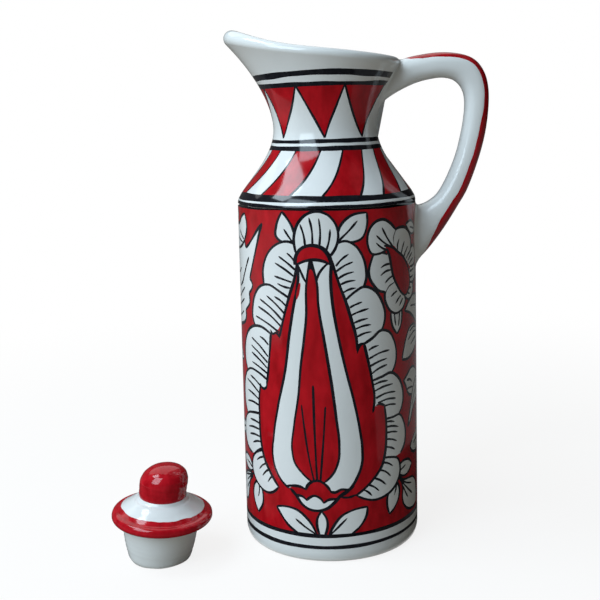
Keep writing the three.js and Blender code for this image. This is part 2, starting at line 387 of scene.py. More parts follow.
def brushed_group():
    tree, given, result = node_group(
        "brushed paint", "ShaderNodeTree",
        [("Stroke Width", "Float", 3.0), ("Stroke Length", "Float", 16.0), ("Contrast", "Float", 1.0)],
        [("Load", "Float")])
    place = output(tree, "ShaderNodeTexCoord", name="Object")
    drift = output(tree, "ShaderNodeTexNoise", {"Vector": place, "Scale": DRIFT_SCALE}, "Color")
    bent = vector(tree, "MULTIPLY_ADD", drift, (DRIFT_REACH,) * 3, place)
    across, along = (1.0 / MM) / given("Stroke Width"), (1.0 / MM) / given("Stroke Length")
    scale = output(tree, "ShaderNodeCombineXYZ", {"X": across, "Y": across, "Z": along})
    streaks = output(tree, "ShaderNodeTexNoise", {
        "Vector": vector(tree, "MULTIPLY", bent, scale), "Scale": 1.0, "Detail": 2.5}, "Fac")
    put(tree, result["Load"], reckon("ADD", (streaks - 0.5) * given("Contrast"), 0.5, clamp=True))
    return tree


brushed = brushed_group()
print("group:", brushed.name)

# %% Make the materials
GLAZE_ROUGHNESS, RIPPLE_DEPTH = 0.10, 0.05
SPECK_COLOUR = (0.16, 0.13, 0.11, 1.0)


def glazed_material(name, thin, full, contrast, width, length):
    """A painted or bare colour under clear glaze, from thin to full where the brush left more."""
    material, tree = new_material(name)
    shader = tree.nodes["Principled BSDF"].inputs
    load = grouped(tree, brushed, "Load", Stroke_Width=width, Stroke_Length=length, Contrast=contrast)
    surface = add_node(tree, "ShaderNodeGroup", node_tree=glaze_surface).outputs
    speck = Number(tree, surface["Pinholes"]) * 0.5
    colour = mixed_colour(tree, speck, mixed_colour(tree, load, thin, full), SPECK_COLOUR)
    bump = output(tree, "ShaderNodeBump", {
        "Height": surface["Height"], "Strength": 1.0, "Distance": RIPPLE_DEPTH * MM})
    for label, value in (("Roughness", GLAZE_ROUGHNESS), ("IOR", 1.5), ("Base Color", colour), ("Normal", bump)):
        put(tree, shader[label], value)
    return material


WHITE_THIN, WHITE_FULL = (0.685, 0.715, 0.725, 1), (0.765, 0.795, 0.805, 1)
white_glaze = glazed_material("white glaze", WHITE_THIN, WHITE_FULL, 1.2, 20, 40)
red_paint = glazed_material(
    "red paint under glaze", (0.50, 0.007, 0.014, 1), (0.275, 0.002, 0.005, 1), 1.8, 5, 12)
black_line = glazed_material(
    "black line under glaze", (0.016, 0.016, 0.022, 1), (0.003, 0.003, 0.005, 1), 1.6, 1.5, 5)


def bare_clay_material():
    material, tree = new_material("bare clay")
    place = output(tree, "ShaderNodeTexCoord", name="Object")
    grain = output(tree, "ShaderNodeTexNoise", {"Vector": place, "Scale": 900.0}, "Fac")
    shader = tree.nodes["Principled BSDF"].inputs
    put(tree, shader["Roughness"], 0.85)
    put(tree, shader["Base Color"], mixed_colour(tree, grain, (0.46, 0.42, 0.36, 1), (0.60, 0.56, 0.50, 1)))
    return material


WHITE, RED, BLACK, CLAY = range(4)
JUG_FINISHES = [white_glaze, red_paint, black_line, bare_clay_material()]
print("materials:", [material.name for material in JUG_FINISHES])

# %% [markdown]
# ## The jug's surface as a map
# The jug is turned on a wheel, and its mouth is then pulled out into a lip. Its wall follows one rule: a
# meridian curve for each direction, whose top moves out and up near the lip. The rule is worked out once,
# in a table of directions and heights. The table then lays any drawn point on the wall: x is the distance
# round the barrel from the front, towards the handle, and z is the height.

# %% Write the rule of the jug's wall
BASE_RADIUS, BASE_EDGE, BARREL_LOW, BARREL_HIGH = 42.4, 5.0, 44.9, 43.9
BARREL_TOP, WAIST_RADIUS, WAIST_HEIGHT = 172.0, 25.3, 207.0
SHOULDER_TURN, WAIST_TURN = 6.0, 15.0  # how long the wall keeps upright above the barrel and below the waist
RIM_RADIUS, RIM_HEIGHT, RIM_SLOPE, RIM_THICKNESS = 36.2, 239.4, 0.1, 5.0
LIP_REACH, LIP_LIFT, LIP_SPREAD, LIP_ROLL = 10.9, 3.5, 0.5, 2.8
FLARE_TURN, FLARE_FULLNESS, LIP_TURN_LOW, LIP_TURN_HIGH = 10.0, 0.42, 2.0, 3.0
WALL, FLOOR_THICKNESS, FLOOR_ROUND = 4.0, 6.0, 9.0
DRAWING_RADIUS = 44.0  # the radius at which a drawing's x is measured
ROUND_IT = 2 * math.pi * DRAWING_RADIUS
SEAM = ROUND_IT / 4  # the drawing's edge lies under the handle


def lip_share(angle):
    away = math.pi - np.abs(np.arctan2(np.sin(angle), np.cos(angle)))
    return np.exp(-0.5 * (away / LIP_SPREAD) ** 2)


def unit(vectors):
    return vectors / np.linalg.norm(vectors, axis=-1, keepdims=True)


def bezier(points, steps):
    t = np.linspace(0.0, 1.0, steps)[:, None]
    a, b, c, d = (np.array(p, float) for p in points)
    return (1 - t) ** 3 * a + 3 * (1 - t) ** 2 * t * b + 3 * (1 - t) * t * t * c + t ** 3 * d


def bend(start, corner, end, steps):
    """A short curve from start to end that heads for the corner between them, without its first point."""
    start, corner, end = (np.array(p, float) for p in (start, corner, end))
    t = np.linspace(0, 1, steps + 1)[1:].reshape(-1, *[1] * start.ndim)
    return (1 - t) ** 2 * start + 2 * t * (1 - t) * corner + t * t * end


def wall_edge(angle):
    share = lip_share(angle)
    radius = RIM_RADIUS + LIP_REACH * share
    return radius, RIM_HEIGHT + LIP_LIFT * share - RIM_SLOPE * radius * math.cos(angle)


def outer_meridian(angle):
    """(radius, height) of the outer wall for one direction, from the barrel's foot to the rim's edge."""
    share = lip_share(angle)
    radius, height = wall_edge(angle)
    barrel = np.array([[BARREL_LOW, BASE_EDGE], [(BARREL_LOW + BARREL_HIGH) / 2, (BASE_EDGE + BARREL_TOP) / 2]])
    shoulder = bezier([(BARREL_HIGH, BARREL_TOP), (BARREL_HIGH, BARREL_TOP + SHOULDER_TURN),
                       (WAIST_RADIUS, WAIST_HEIGHT - WAIST_TURN), (WAIST_RADIUS, WAIST_HEIGHT)], 160)
    flare = bezier([(WAIST_RADIUS, WAIST_HEIGHT), (WAIST_RADIUS, WAIST_HEIGHT + FLARE_TURN + LIP_TURN_LOW * share),
                    (WAIST_RADIUS + FLARE_FULLNESS * (radius - WAIST_RADIUS),
                     height - FLARE_TURN - LIP_TURN_HIGH * share), (radius, height)], 160)
    return np.vstack([barrel, shoulder, flare[1:]])


def rim_half(angle):
    """Half the rim's thickness. It is rolled over thicker at the lip's end."""
    return (RIM_THICKNESS + LIP_ROLL * lip_share(angle)) / 2


def rolled_rim(angle, steps):
    """The rim's half round, from the outer wall's edge over to the inside."""
    outer = outer_meridian(angle)
    along = unit(outer[-1] - outer[-3])
    across = np.array([-along[1], along[0]])
    turn = (np.arange(1, steps + 1) / steps * math.pi)[:, None]
    return outer[-1] + (across * (1 - np.cos(turn)) + along * np.sin(turn)) * rim_half(angle)


print("wall's edge at the lip and over the handle, mm:", [round(float(wall_edge(a)[1]), 1) for a in (math.pi, 0.0)])

# %% Tabulate the wall: 720 directions by 500 heights, with their normals
DIRECTIONS, LEVELS = 720, 500


def tabulate_wall():
    angles = np.arange(DIRECTIONS + 1) / DIRECTIONS * 2 * math.pi
    rows = np.linspace(0.0, 1.0, LEVELS)
    radius = np.zeros((DIRECTIONS + 1, LEVELS))
    height = np.zeros_like(radius)
    for i, angle in enumerate(angles):
        meridian = outer_meridian(angle)
        height[i] = BASE_EDGE + rows * (meridian[-1, 1] - BASE_EDGE)
        radius[i] = np.interp(height[i], meridian[:, 1], meridian[:, 0])
    radius[:, 1:-1] = (radius[:, :-2] + 2 * radius[:, 1:-1] + radius[:, 2:]) / 4
    place = np.stack([radius * np.cos(angles)[:, None], radius * np.sin(angles)[:, None], height], -1)
    wrapped = np.vstack([place[-2:-1], place, place[1:2]])
    normal = unit(np.cross((wrapped[2:] - wrapped[:-2]) / 2, np.gradient(place, axis=1)))
    return np.concatenate([radius[..., None], normal], -1), height[:, -1]


WALL_TABLE, WALL_TOP = tabulate_wall()


def wall_angle(x):
    return np.asarray(x, float) / DRAWING_RADIUS - math.pi / 2


def table_column(x):
    return (wall_angle(x) % (2 * math.pi)) / (2 * math.pi) * DIRECTIONS


def on_wall(x, z):
    """The places and normals of drawn points on the outer wall, by interpolation in the table."""
    column = table_column(x)
    i = np.clip(column.astype(int), 0, DIRECTIONS - 1)
    f = (column - i)[:, None]
    top = WALL_TOP[i] * (1 - f[:, 0]) + WALL_TOP[i + 1] * f[:, 0]
    row = np.clip((np.asarray(z) - BASE_EDGE) / (top - BASE_EDGE), 0, 1) * (LEVELS - 1)
    j = np.clip(row.astype(int), 0, LEVELS - 2)
    g = (row - j)[:, None]
    low = WALL_TABLE[i, j] * (1 - g) + WALL_TABLE[i, j + 1] * g
    high = WALL_TABLE[i + 1, j] * (1 - g) + WALL_TABLE[i + 1, j + 1] * g
    mixed = low * (1 - f) + high * f
    radius, angle = mixed[:, 0], wall_angle(x)
    return np.stack([radius * np.cos(angle), radius * np.sin(angle), z], -1), unit(mixed[:, 1:])


def top_height(x):
    return np.interp(table_column(x), np.arange(DIRECTIONS + 1), WALL_TOP)


print("wall table:", WALL_TABLE.shape, "lip height, mm:", round(float(WALL_TOP.max()), 1))

# %% [markdown]
# ## The painted ornament
# The ornament is a traditional one: a tall tulip bud in a wreath of scalloped petals, small flowers and
# leaves on a red ground, a band of slanted stripes on the shoulder and a band of points on the neck, with
# It is drawn here as a painter would, in brush order, with outlines given one by one.
# A fill is an outline with corners between smooth runs. A stroke is a line whose width grows and fades.

# %% Helpers that draw smooth outlines
ornament = []  # (colour, outline) in painting order, x and z in mm


def hermite(a, b, slope_a, slope_b, t):
    return ((2 * t ** 3 - 3 * t ** 2 + 1) * a + (t ** 3 - 2 * t ** 2 + t) * slope_a
            + (3 * t ** 2 - 2 * t ** 3) * b + (t ** 3 - t ** 2) * slope_b)


def smooth_line(points, step=0.9):
    """A smooth curve through a few points, cut into even steps."""
    points = np.array(points, float)
    if len(points) == 2:
        points = np.array([points[0], (points[0] + points[1]) / 2, points[1]])
    gaps = np.linalg.norm(np.diff(points, axis=0), axis=1)
    ways = np.diff(points, axis=0) / gaps[:, None]
    tangent = np.zeros_like(points)
    tangent[1:-1] = (ways[:-1] * gaps[1:, None] + ways[1:] * gaps[:-1, None]) / (gaps[:-1] + gaps[1:])[:, None]
    tangent[0] = 1.5 * ways[0] - 0.5 * tangent[1]
    tangent[-1] = 1.5 * ways[-1] - 0.5 * tangent[-2]
    line = [points[:1]]
    for i, gap in enumerate(gaps):
        t = np.linspace(0, 1, max(2, int(math.ceil(gap / step)) + 1))[1:, None]
        line.append(hermite(points[i], points[i + 1], tangent[i] * gap, tangent[i + 1] * gap, t))
    return np.vstack(line)


def outline(*runs):
    """A closed outline. Each run is a smooth line, and a corner lies where one run ends."""
    lines = [smooth_line(run) for run in runs]
    return np.vstack([line[:-1] if np.allclose(line[-1], nxt[0]) else line
                      for line, nxt in zip(lines, lines[1:] + lines[:1])])


def fill(colour, *runs):
    ornament.append((colour, outline(*runs)))


print("points in a smooth line 10 mm long:", len(smooth_line([(0, 0), (10, 0)])))

# %% Helpers that draw strokes, petals and leaves
chance = random.Random(7)
LOADED = 1.42  # how much a loaded brush spreads past a stroke's drawn width
HATCH = 0.74  # the drawn width of the short lines in petals and leaves
RISE, FALL, SWELL = 1.2, 2.2, 0.14  # a stroke's start and end, in its widths, and how much its width varies


def ribbon(points, width, start=0.25, end=0.25):
    """The outline of a brush stroke. start and end give its width there as a share of the full width."""
    width *= LOADED
    line = smooth_line(points)
    along = unit(np.gradient(line, axis=0))
    side = np.stack([-along[:, 1], along[:, 0]], -1)
    length = np.concatenate([[0], np.cumsum(np.linalg.norm(np.diff(line, axis=0), axis=1))])
    rise = np.clip(length / (RISE * width), 0, 1)
    fall = np.clip((length[-1] - length) / (FALL * width), 0, 1)
    half = width / 2 * np.minimum(start + (1 - start) * np.sin(rise * math.pi / 2),
                                  end + (1 - end) * np.sin(fall * math.pi / 2))
    half *= 1 + SWELL * np.sin(length / length[-1] * chance.uniform(4, 9) + chance.uniform(0, 6))
    return np.vstack([line + side * half[:, None], (line - side * half[:, None])[::-1]])


def stroke(points, width=0.85, start=0.3, end=0.25, colour=BLACK):
    ornament.append((colour, ribbon(points, width, start, end)))


def petal(edge, inner, hatches):
    """A white petal: its drawn edge, the hidden line that closes it, and the short lines inside it."""
    fill(WHITE, edge, [edge[-1], *inner, edge[0]])
    for hatch in hatches:
        stroke(hatch, HATCH, 0.8, 0.35)
    stroke(edge, 0.95, 0.6, 0.6)


def leaf(upper, lower, *veins):
    """A white leaf between two edges from its tip to its foot, with veins that start at the foot."""
    fill(WHITE, upper, lower[::-1])
    for vein in veins:
        stroke(vein, HATCH, 0.8, 0.35)
    stroke(upper, 0.9, 0.5, 0.6)
    stroke(lower, 0.9, 0.5, 0.6)


print("ready: ribbon, stroke, petal and leaf")


# %% Lay the grounds and ring lines
RED_LOW, RED_HIGH = 14.2, 171.8
ONCE_ROUND = np.array([ROUND_IT, 0.0])
RING_POINTS, RING_WAVES = 290, (1, 2, 3, 5, 8, 13)
PAST_SEAM, PAST_EDGE = 3, 5  # points, and mm, that a line and a ground go on past the drawing's edges


def ring_line(height, width, wobble=0.22):
    """A line round the whole jug, as a brush leaves it while the jug turns. It meets itself at the seam."""
    x = SEAM - ROUND_IT + np.arange(-PAST_SEAM, RING_POINTS + PAST_SEAM + 1) / RING_POINTS * ROUND_IT
    turn = (x - SEAM) / ROUND_IT * 2 * math.pi
    waves = [(n, chance.uniform(0, 6.3), chance.uniform(0, 6.3)) for n in RING_WAVES]
    middle = height(x) if callable(height) else np.full_like(x, height)
    middle = middle + wobble * sum(np.sin(n * turn + a) / n ** 0.7 for n, a, _ in waves) / 2
    half = width / 2 * (1 + 0.16 * sum(np.sin(n * turn + b) / n ** 0.4 for n, _, b in waves) / 1.6)
    ornament.append((BLACK, np.vstack([np.stack([x, middle + half], -1), np.stack([x, middle - half], -1)[::-1]])))


def ground(colour, low, high):
    left, right = SEAM - ROUND_IT - PAST_EDGE, SEAM + PAST_EDGE
    ornament.append((colour, np.array([(left, low), (right, low), (right, high), (left, high)], float)))


ground(RED, RED_LOW, RED_HIGH)
grounds = len(ornament)
print("round the jug, mm:", round(ROUND_IT, 1))

# %% Draw the feather leaf beside the motif
# The scalloped edge is a list of runs, which serve for the fill and again for the strokes over it.
FEATHER_EDGE = [
    [(-33.4, 164.6), (-35.3, 160.4), (-37.4, 154.6), (-40.6, 146.6), (-44.7, 137.2)],
    [(-44.7, 137.2), (-43.2, 136.2), (-42, 134.2)], [(-42, 134.2), (-43, 132.2), (-45.8, 130)],
    [(-45.8, 130), (-45.3, 127.4), (-45.4, 124.8)], [(-45.4, 124.8), (-48, 122.4), (-50.6, 120.8)],
    [(-50.6, 120.8), (-50, 118.4), (-51, 115.8), (-56, 113.2), (-64, 112), (-72, 114)],
    [(-72, 114), (-70, 122), (-71, 129)], [(-71, 129), (-66.6, 134), (-67, 142)],
    [(-67, 142), (-68.6, 146.6), (-66, 150.4)], [(-66, 150.4), (-58, 150.8), (-53, 152.6), (-49.5, 155.3)],
    [(-49.5, 155.3), (-48.8, 153), (-47.9, 151.7)],
    [(-47.9, 151.7), (-45, 153.5), (-40.4, 157.6), (-36.2, 162), (-33.4, 164.6)]]
# The leaf that lies on top shares the feather's upper edge.
FEATHER_CAP = [
    [(-49.5, 155.3), (-47.4, 158.4), (-46.4, 161.6), (-46.9, 165), (-48.8, 168.3)],
    [(-48.8, 168.3), (-53, 166.4), (-57, 163.4), (-61, 162.2), (-66, 161.6), (-70.6, 157.4)],
    [(-70.6, 157.4), (-69, 153), (-66, 150.4)], [(-66, 150.4), (-58, 150.8), (-53, 152.6), (-49.5, 155.3)]]
fill(WHITE, *FEATHER_EDGE)
fill(WHITE, *FEATHER_CAP)
for run in FEATHER_EDGE + FEATHER_CAP[:-1]:
    stroke(run, 1.0, 0.6, 0.6)
stroke([(-45, 147.6), (-47.8, 143.4), (-51.4, 138), (-54.6, 134), (-59, 131.6)], 0.95, 0.2, 0.5)
for run in ([(-51, 131.9), (-55, 129.4), (-60, 126.6), (-65, 125.4)],
            [(-52.4, 126), (-57, 123.6), (-62, 121.7), (-66.5, 121)],
            [(-53.8, 119.6), (-58.4, 117.4), (-64, 115.6)], [(-56, 141), (-60, 138.6), (-65, 137.6)],
            [(-50.2, 155.6), (-53.4, 157), (-57, 159.6)], [(-52.4, 154), (-57, 154.8), (-62, 156.4)]):
    stroke(run, HATCH, 0.6, 0.35)
print("outlines so far:", len(ornament))

# %% Draw the small leaves
# Nearly all are given by their two edges, and by veins where they have some.
leaf([(-21.4, 170.6), (-24.6, 164), (-25, 159.2), (-22.4, 156.9), (-18.6, 156.6), (-13.6, 155.2)],
     [(-21.4, 170.6), (-18.8, 167.6), (-16.2, 163.4), (-15, 159.6)], [(-16, 156.4), (-18.2, 159.2), (-20.6, 162.6)])
leaf([(18.9, 169.5), (11, 168.4), (6.4, 164.4), (4.6, 159)],
     [(18.9, 169.5), (18.8, 163), (16.2, 157.8), (12, 156.3), (5.4, 156.8)],
     [(5.2, 157.2), (9.6, 161.2), (14.2, 166)])
leaf([(-28.5, 25.9), (-23.5, 27), (-17, 26.3), (-11.5, 22), (-7.2, 14.4)],
     [(-28.5, 25.9), (-25.5, 21.8), (-21.5, 17.4), (-16.5, 14.4)], [(-8, 14.9), (-12.6, 17.8), (-17.9, 21.6)])
leaf([(17.4, 27.5), (10, 26.7), (4.4, 24), (1, 19.6), (-1.6, 14.4)],
     [(17.4, 27.5), (16.8, 23), (13.2, 17.6), (9.4, 14.6)], [(-0.8, 14.8), (2.8, 18.4), (7.2, 22.9)])
leaf([(-4.9, 26.6), (-7, 22.8), (-7.1, 18.6), (-5.8, 14)], [(-4.9, 26.6), (-2.5, 22.8), (-2.2, 18.6), (-3.6, 14)])
leaf([(-46, 40), (-50.4, 44.4), (-56, 45.6), (-61.5, 43)], [(-46, 40), (-51, 38), (-57, 39.2), (-61.5, 43)],
     [(-46.4, 40), (-51, 41.6), (-56, 42)])
leaf([(-41.2, 35.6), (-45.4, 33), (-47, 27.6), (-45.4, 22.4), (-42.3, 18.8)],
     [(-41.2, 35.6), (-38.3, 31), (-38, 25.4), (-42.3, 18.8)], [(-41.2, 33.6), (-41.1, 30.4), (-42.2, 27)])
leaf([(-46.6, 37.4), (-53, 36.8), (-60, 33.4), (-63, 26.4), (-60, 19.4)],
     [(-46.6, 37.4), (-50.8, 33), (-53, 27.6), (-55.4, 22), (-60, 19.4)], [(-47, 37), (-52, 34), (-56, 31)],
     [(-47.6, 36.6), (-54, 34.8), (-59, 33)], [(-47.2, 36), (-53.6, 30), (-57, 26.6)])
leaf([(36.8, 43.8), (41, 45.3), (45.4, 44.6), (49.8, 41)], [(36.4, 39.8), (39, 37.9), (43.4, 37.3), (49.8, 41)],
     [(37.2, 40.9), (40, 41.6), (42.8, 42.5)])
leaf([(36.4, 38.2), (41, 35.4), (46.4, 34.6), (51.6, 33.2), (55.6, 29.6), (57.4, 24), (57, 18)],
     [(36.4, 38.2), (39.2, 34), (40, 30.6), (39.6, 26.6), (40.6, 22.8), (44, 19.2), (50, 17.3), (57, 18)],
     [(37.4, 37), (42, 33.6), (49.2, 30.8)], [(38.4, 35.6), (44, 30), (50, 25)],
     [(40.2, 32), (42.4, 28.2), (44.8, 24.8)])
leaf([(35.4, 35.8), (31.6, 33.6), (29, 30.6), (28.5, 26.6), (30, 20.6)],
     [(35.4, 35.8), (37.2, 31.6), (36.4, 27.2), (33.6, 23.2), (30, 20.6)], [(35.2, 34.8), (34.4, 32.2), (33.4, 29.6)])
leaf([(40.2, 96.7), (41.8, 101.6), (44.4, 107), (47.8, 110.8), (53.4, 111.8), (60, 109.6), (66, 107.6), (72, 107.6)],
     [(40.2, 96.7), (45, 96), (50.4, 97), (55.6, 99.4), (61, 102), (67, 104), (72, 107.6)],
     [(60, 107), (53, 107.7), (46.2, 105.2)],
     [(60, 104.6), (54, 104), (49.4, 102.2)], [(59, 109.4), (53.4, 110.2), (48.2, 109.2)])
fill(WHITE, [(41.3, 85.7), (45.2, 88.2), (49.8, 90.6), (55, 89.6), (59.6, 85.8), (61.2, 83), (60, 78),
             (51, 76.8), (47, 77.6), (44.5, 80), (43.4, 83), (41.3, 85.7)])
for run in ([(41.2, 85.6), (45.2, 88.2), (49.8, 90.6), (55, 89.6), (61, 83.6)],
            [(44.6, 85.3), (48, 84.9), (51, 82.9)],
            [(41.2, 85.9), (43.4, 83), (44.6, 79.8)], [(44.4, 80.6), (48, 80.8), (52, 80.2)],
            [(44.4, 80.4), (47, 77.6), (51, 76.8)]):
    stroke(run, 0.9, 0.5, 0.4)
leaf([(45.1, 61.4), (46.8, 66.4), (49, 72), (51, 77.4), (55, 82), (60, 83.6), (64.4, 81.8), (67, 77.4)],
     [(45.1, 61.4), (48.2, 63.8), (51.4, 68.4), (55.6, 71.6), (61, 73.2), (67, 77.4)],
     [(59, 79), (54, 75.6), (50.6, 70.4)])
leaf([(47.9, 50.2), (50.6, 53), (55, 55.2), (61, 56.4), (66, 55.4), (70, 51.4)],
     [(47.9, 50.2), (50.4, 47.2), (55, 45.8), (61, 46), (66, 47.6), (70, 51.4)],
     [(62, 51.4), (56.6, 51.6), (52.4, 50.6)])
leaf([(42.8, 120.2), (47.6, 124.4), (54, 126.6), (60, 125), (63.6, 120.6), (64.4, 115.6), (63, 111)],
     [(42.8, 120.2), (47.4, 118.8), (52.6, 116), (57.4, 112.8), (63, 111)],
     [(59, 120), (54, 121.2), (49.4, 121.4)])
leaf([(44.6, 161.8), (49, 163.2), (54, 161.8), (57.4, 158)], [(44.6, 161.8), (48.4, 157.8), (53, 156.4), (57.4, 158)],
     [(55.6, 158.4), (52.6, 159.4), (49, 160)])
print("outlines so far:", len(ornament))

# %% Scatter loose leaves over the ground between the motifs
def draw_loose_leaf(x, z, turn, length):
    """A leaf at any place and turn, for the ground between the larger motifs."""
    along, side = np.array([math.cos(turn), math.sin(turn)]), np.array([-math.sin(turn), math.cos(turn)])

    def at(a, b):
        return tuple(np.array([x, z]) + along * a * length + side * b * length)

    leaf([at(0, 0), at(0.3, 0.24), at(0.66, 0.24), at(1, 0)], [at(0, 0), at(0.34, -0.2), at(0.7, -0.17), at(1, 0)],
         [at(0.05, 0), at(0.4, 0.03), at(0.75, 0.01)])


for x, z, turn, length in ((63, 88, 20, 13), (70, 20.5, 175, 10), (68, 62.5, 62, 13), (62, 41.5, 2, 11.5),
                           (70.5, 33, 172, 11), (61.5, 26, 8, 11), (74, 76, 100, 12.5), (62.4, 127.5, 88, 10.5),
                           (64, 141.5, 98, 12), (70.5, 97.6, -14, 11.5), (61.4, 157.5, 80, 11), (66.4, 165.6, 6, 12),
                           (71.5, 57, 12, 14)):
    draw_loose_leaf(x, z, math.radians(turn), length)
print("outlines so far:", len(ornament))

# %% Draw the flower
# The leaf below it and its outer petals come first, and the red heart then covers the petals' feet.
leaf([(36.4, 110.2), (33.6, 113.6), (32.3, 117.4), (32.2, 121.6)],
     [(36.4, 110.2), (39, 113.2), (40.3, 117), (40.4, 121.6)],
     [(34.6, 120.6), (34.9, 117.6), (35.6, 114.4)], [(38.3, 120.6), (38.2, 117.4), (37.4, 113.8)])
petal([(43.4, 127.2), (47, 125.2), (51.4, 126.6), (53.6, 130), (52.2, 133.2), (48.4, 133.8)], [(46, 131)],
      [[(45.6, 129.2), (47.2, 128.2), (49, 127.8)], [(47.4, 131.2), (49.2, 130.6), (51, 130.6)]])
petal([(48.4, 133.6), (53, 133), (57, 135), (58.4, 138.6), (55.8, 141.4), (50, 141.2)], [(48, 138)],
      [[(48.6, 135.6), (51.6, 135.6), (54.6, 136.4)], [(48.8, 138.6), (52, 138.8), (55, 139.4)]])
petal([(49.2, 141), (54.6, 141.4), (57.6, 144.6), (56.6, 148.8), (52.6, 150.8), (47.8, 148)], [(46, 144)],
      [[(48, 142.2), (50.8, 143.6), (53.6, 144.6)], [(46.8, 144.2), (49.8, 146.2), (52.6, 147.4)]])
petal([(34.4, 153), (34.1, 156.6), (36, 160.2), (40, 161), (44.4, 160.2), (48, 157.6), (50.4, 153.4), (50.2, 149.8),
       (47.6, 147.2)], [(45, 144), (41, 147.4)],
      [[(37.2, 150.4), (37.4, 153), (38.7, 155.6)], [(40.4, 148.4), (41.4, 151), (43.2, 153.8)],
       [(42.9, 146.9), (44.6, 149.2), (47, 151.2)], [(45, 145.4), (46.8, 147), (49, 148.4)]])
petal([(42.8, 128), (43.7, 125.8), (42, 122.6), (39.2, 120.9), (35.8, 120.3), (32.6, 121.5), (29.8, 124.6),
       (28.3, 128.6), (28.8, 132), (31, 134.3), (34.6, 135.5)], [(37, 133.4)],
      [[(36.6, 131), (34.4, 130.1), (32.2, 128.7)], [(39.6, 128.4), (37.4, 126.9), (35.5, 125)],
       [(41.2, 126.8), (39.8, 125.2), (38.3, 123.4)]])
petal([(28.8, 131.6), (25.4, 132.4), (22, 135.6), (20, 139), (19.6, 142.6), (20.8, 146.8), (22.4, 149.8), (26, 150.4),
       (30.2, 149.2)], [(32.4, 147), (33.4, 141), (34.8, 136), (31, 134.3)],
      [[(32, 144.5), (29, 144.4), (26.1, 143.2)], [(32.4, 141.6), (29.2, 141.3), (26, 139.5)],
       [(33.4, 138.6), (31, 137.6), (28.6, 135.7)]])
petal([(29.8, 151.4), (24.8, 149.9), (21.4, 150.2), (19.3, 154), (19.1, 158.4), (20.8, 162.6), (24.2, 165.2),
       (28.4, 165.6), (32, 163.8), (36, 160.2)], [(34.1, 156.6), (34.4, 153)],
      [[(34, 152.2), (30.4, 156.6), (27.1, 161.9)], [(32.6, 152.4), (27.6, 155.3), (23.8, 158.6)],
       [(30.6, 151.2), (26.8, 152.6), (23.7, 155.1)]])
fill(RED, [(28.4, 153.2), (31, 152.9), (34, 151.9), (37.4, 149.6), (41.6, 147), (45, 143.4), (47.4, 139.6),
           (48.7, 135.6), (48.2, 131.4), (45.6, 128.6), (43, 127.8)],
     [(43, 127.8), (40, 129.8), (36.8, 133.6), (34.2, 138), (32.8, 142.6), (31.8, 147.4), (30.4, 151), (28.4, 153.2)])
stroke([(28.2, 153.4), (31, 152.9), (34, 151.9), (37.4, 149.6), (41.6, 147), (45, 143.4), (47.4, 139.6),
        (48.7, 135.6), (48.2, 131.4), (45.6, 128.6), (43, 127.8)], 0.85, 0.8, 0.6)
stroke([(43.4, 127.7), (40, 129.8), (36.8, 133.6), (34.2, 138), (32.8, 142.6), (31.8, 147.4), (30, 152)],
       1.05, 0.5, 0.6)
print("outlines so far:", len(ornament))

# %% Draw the wreath of petals
# Six petals at the left and then six at the right, from the top down. Each has a drawn edge, a hidden
# line that closes it, and short lines in it.
petal([(-14, 155.5), (-19.5, 156.9), (-26, 154.6), (-31.3, 149), (-33.6, 142), (-33.1, 135.8)],
      [(-18, 130)],
      [[(-14.8, 146.9), (-17, 149.6), (-19.3, 151.6)], [(-15, 143.6), (-19, 146.8), (-23.8, 149.8)],
       [(-16, 140.8), (-20.5, 143.8), (-26, 146.6)], [(-17.2, 138), (-21, 139), (-26.5, 140.3)],
       [(-17.9, 135.2), (-21, 135.6), (-24.8, 137)]])
petal([(-18.6, 130.4), (-24, 133.4), (-30, 135.9), (-35.4, 134.8), (-39.8, 130.6), (-42.4, 124), (-42.6, 118.5),
       (-40.3, 114.3)], [(-29.2, 112.4)],
      [[(-19.6, 125.8), (-23, 128.8), (-26.8, 130.6)], [(-20.8, 122.4), (-26, 127), (-31.6, 130.5)],
       [(-22.2, 119.3), (-29, 124.8), (-36.3, 128.3)], [(-23.4, 116.6), (-30, 121.5), (-37.9, 124.5)],
       [(-24.6, 113.6), (-31, 117), (-40, 119.6)]])
petal([(-29.4, 112.2), (-35.5, 114.8), (-41, 114.6), (-46.6, 112), (-51, 107), (-53, 100.6), (-52.4, 95),
       (-50.2, 91.2)], [(-32.2, 89)],
      [[(-31.2, 106.6), (-34, 108.8), (-37.3, 110)], [(-31.6, 100.8), (-37.5, 105.3), (-44.5, 108.2)],
       [(-32, 97.8), (-38.5, 101.8), (-45, 104.3)], [(-32.3, 95), (-38.5, 98.6), (-44.8, 100.8)],
       [(-32.4, 92.4), (-38, 94.6), (-44.5, 96)]])
petal([(-32.4, 89.2), (-39, 91.7), (-46.5, 92.2), (-51.7, 89.4), (-55.1, 84), (-56.1, 78), (-55, 72), (-51.8, 68.2)],
      [(-38.8, 71)],
      [[(-38, 85.4), (-42, 87.4), (-47, 88.6)], [(-38.8, 81.4), (-45, 84.4), (-51.3, 86)],
       [(-39.1, 78), (-44.5, 79.8), (-50.6, 80.4)], [(-39.1, 75), (-45, 75.6), (-51.3, 74.6)]])
petal([(-38.9, 71), (-45, 70.1), (-50.2, 68.7), (-54.7, 65.2), (-56.9, 60), (-56.1, 54), (-52.2, 50), (-47, 48.5)],
      [(-37.5, 53.4)],
      [[(-39.3, 65.8), (-44, 66.2), (-48.7, 65.8)], [(-39.1, 62.6), (-45, 62.6), (-51, 61.2)],
       [(-39.1, 59), (-44, 59), (-49.6, 57.8)], [(-38.4, 56.6), (-42, 56), (-46, 54.2)]])
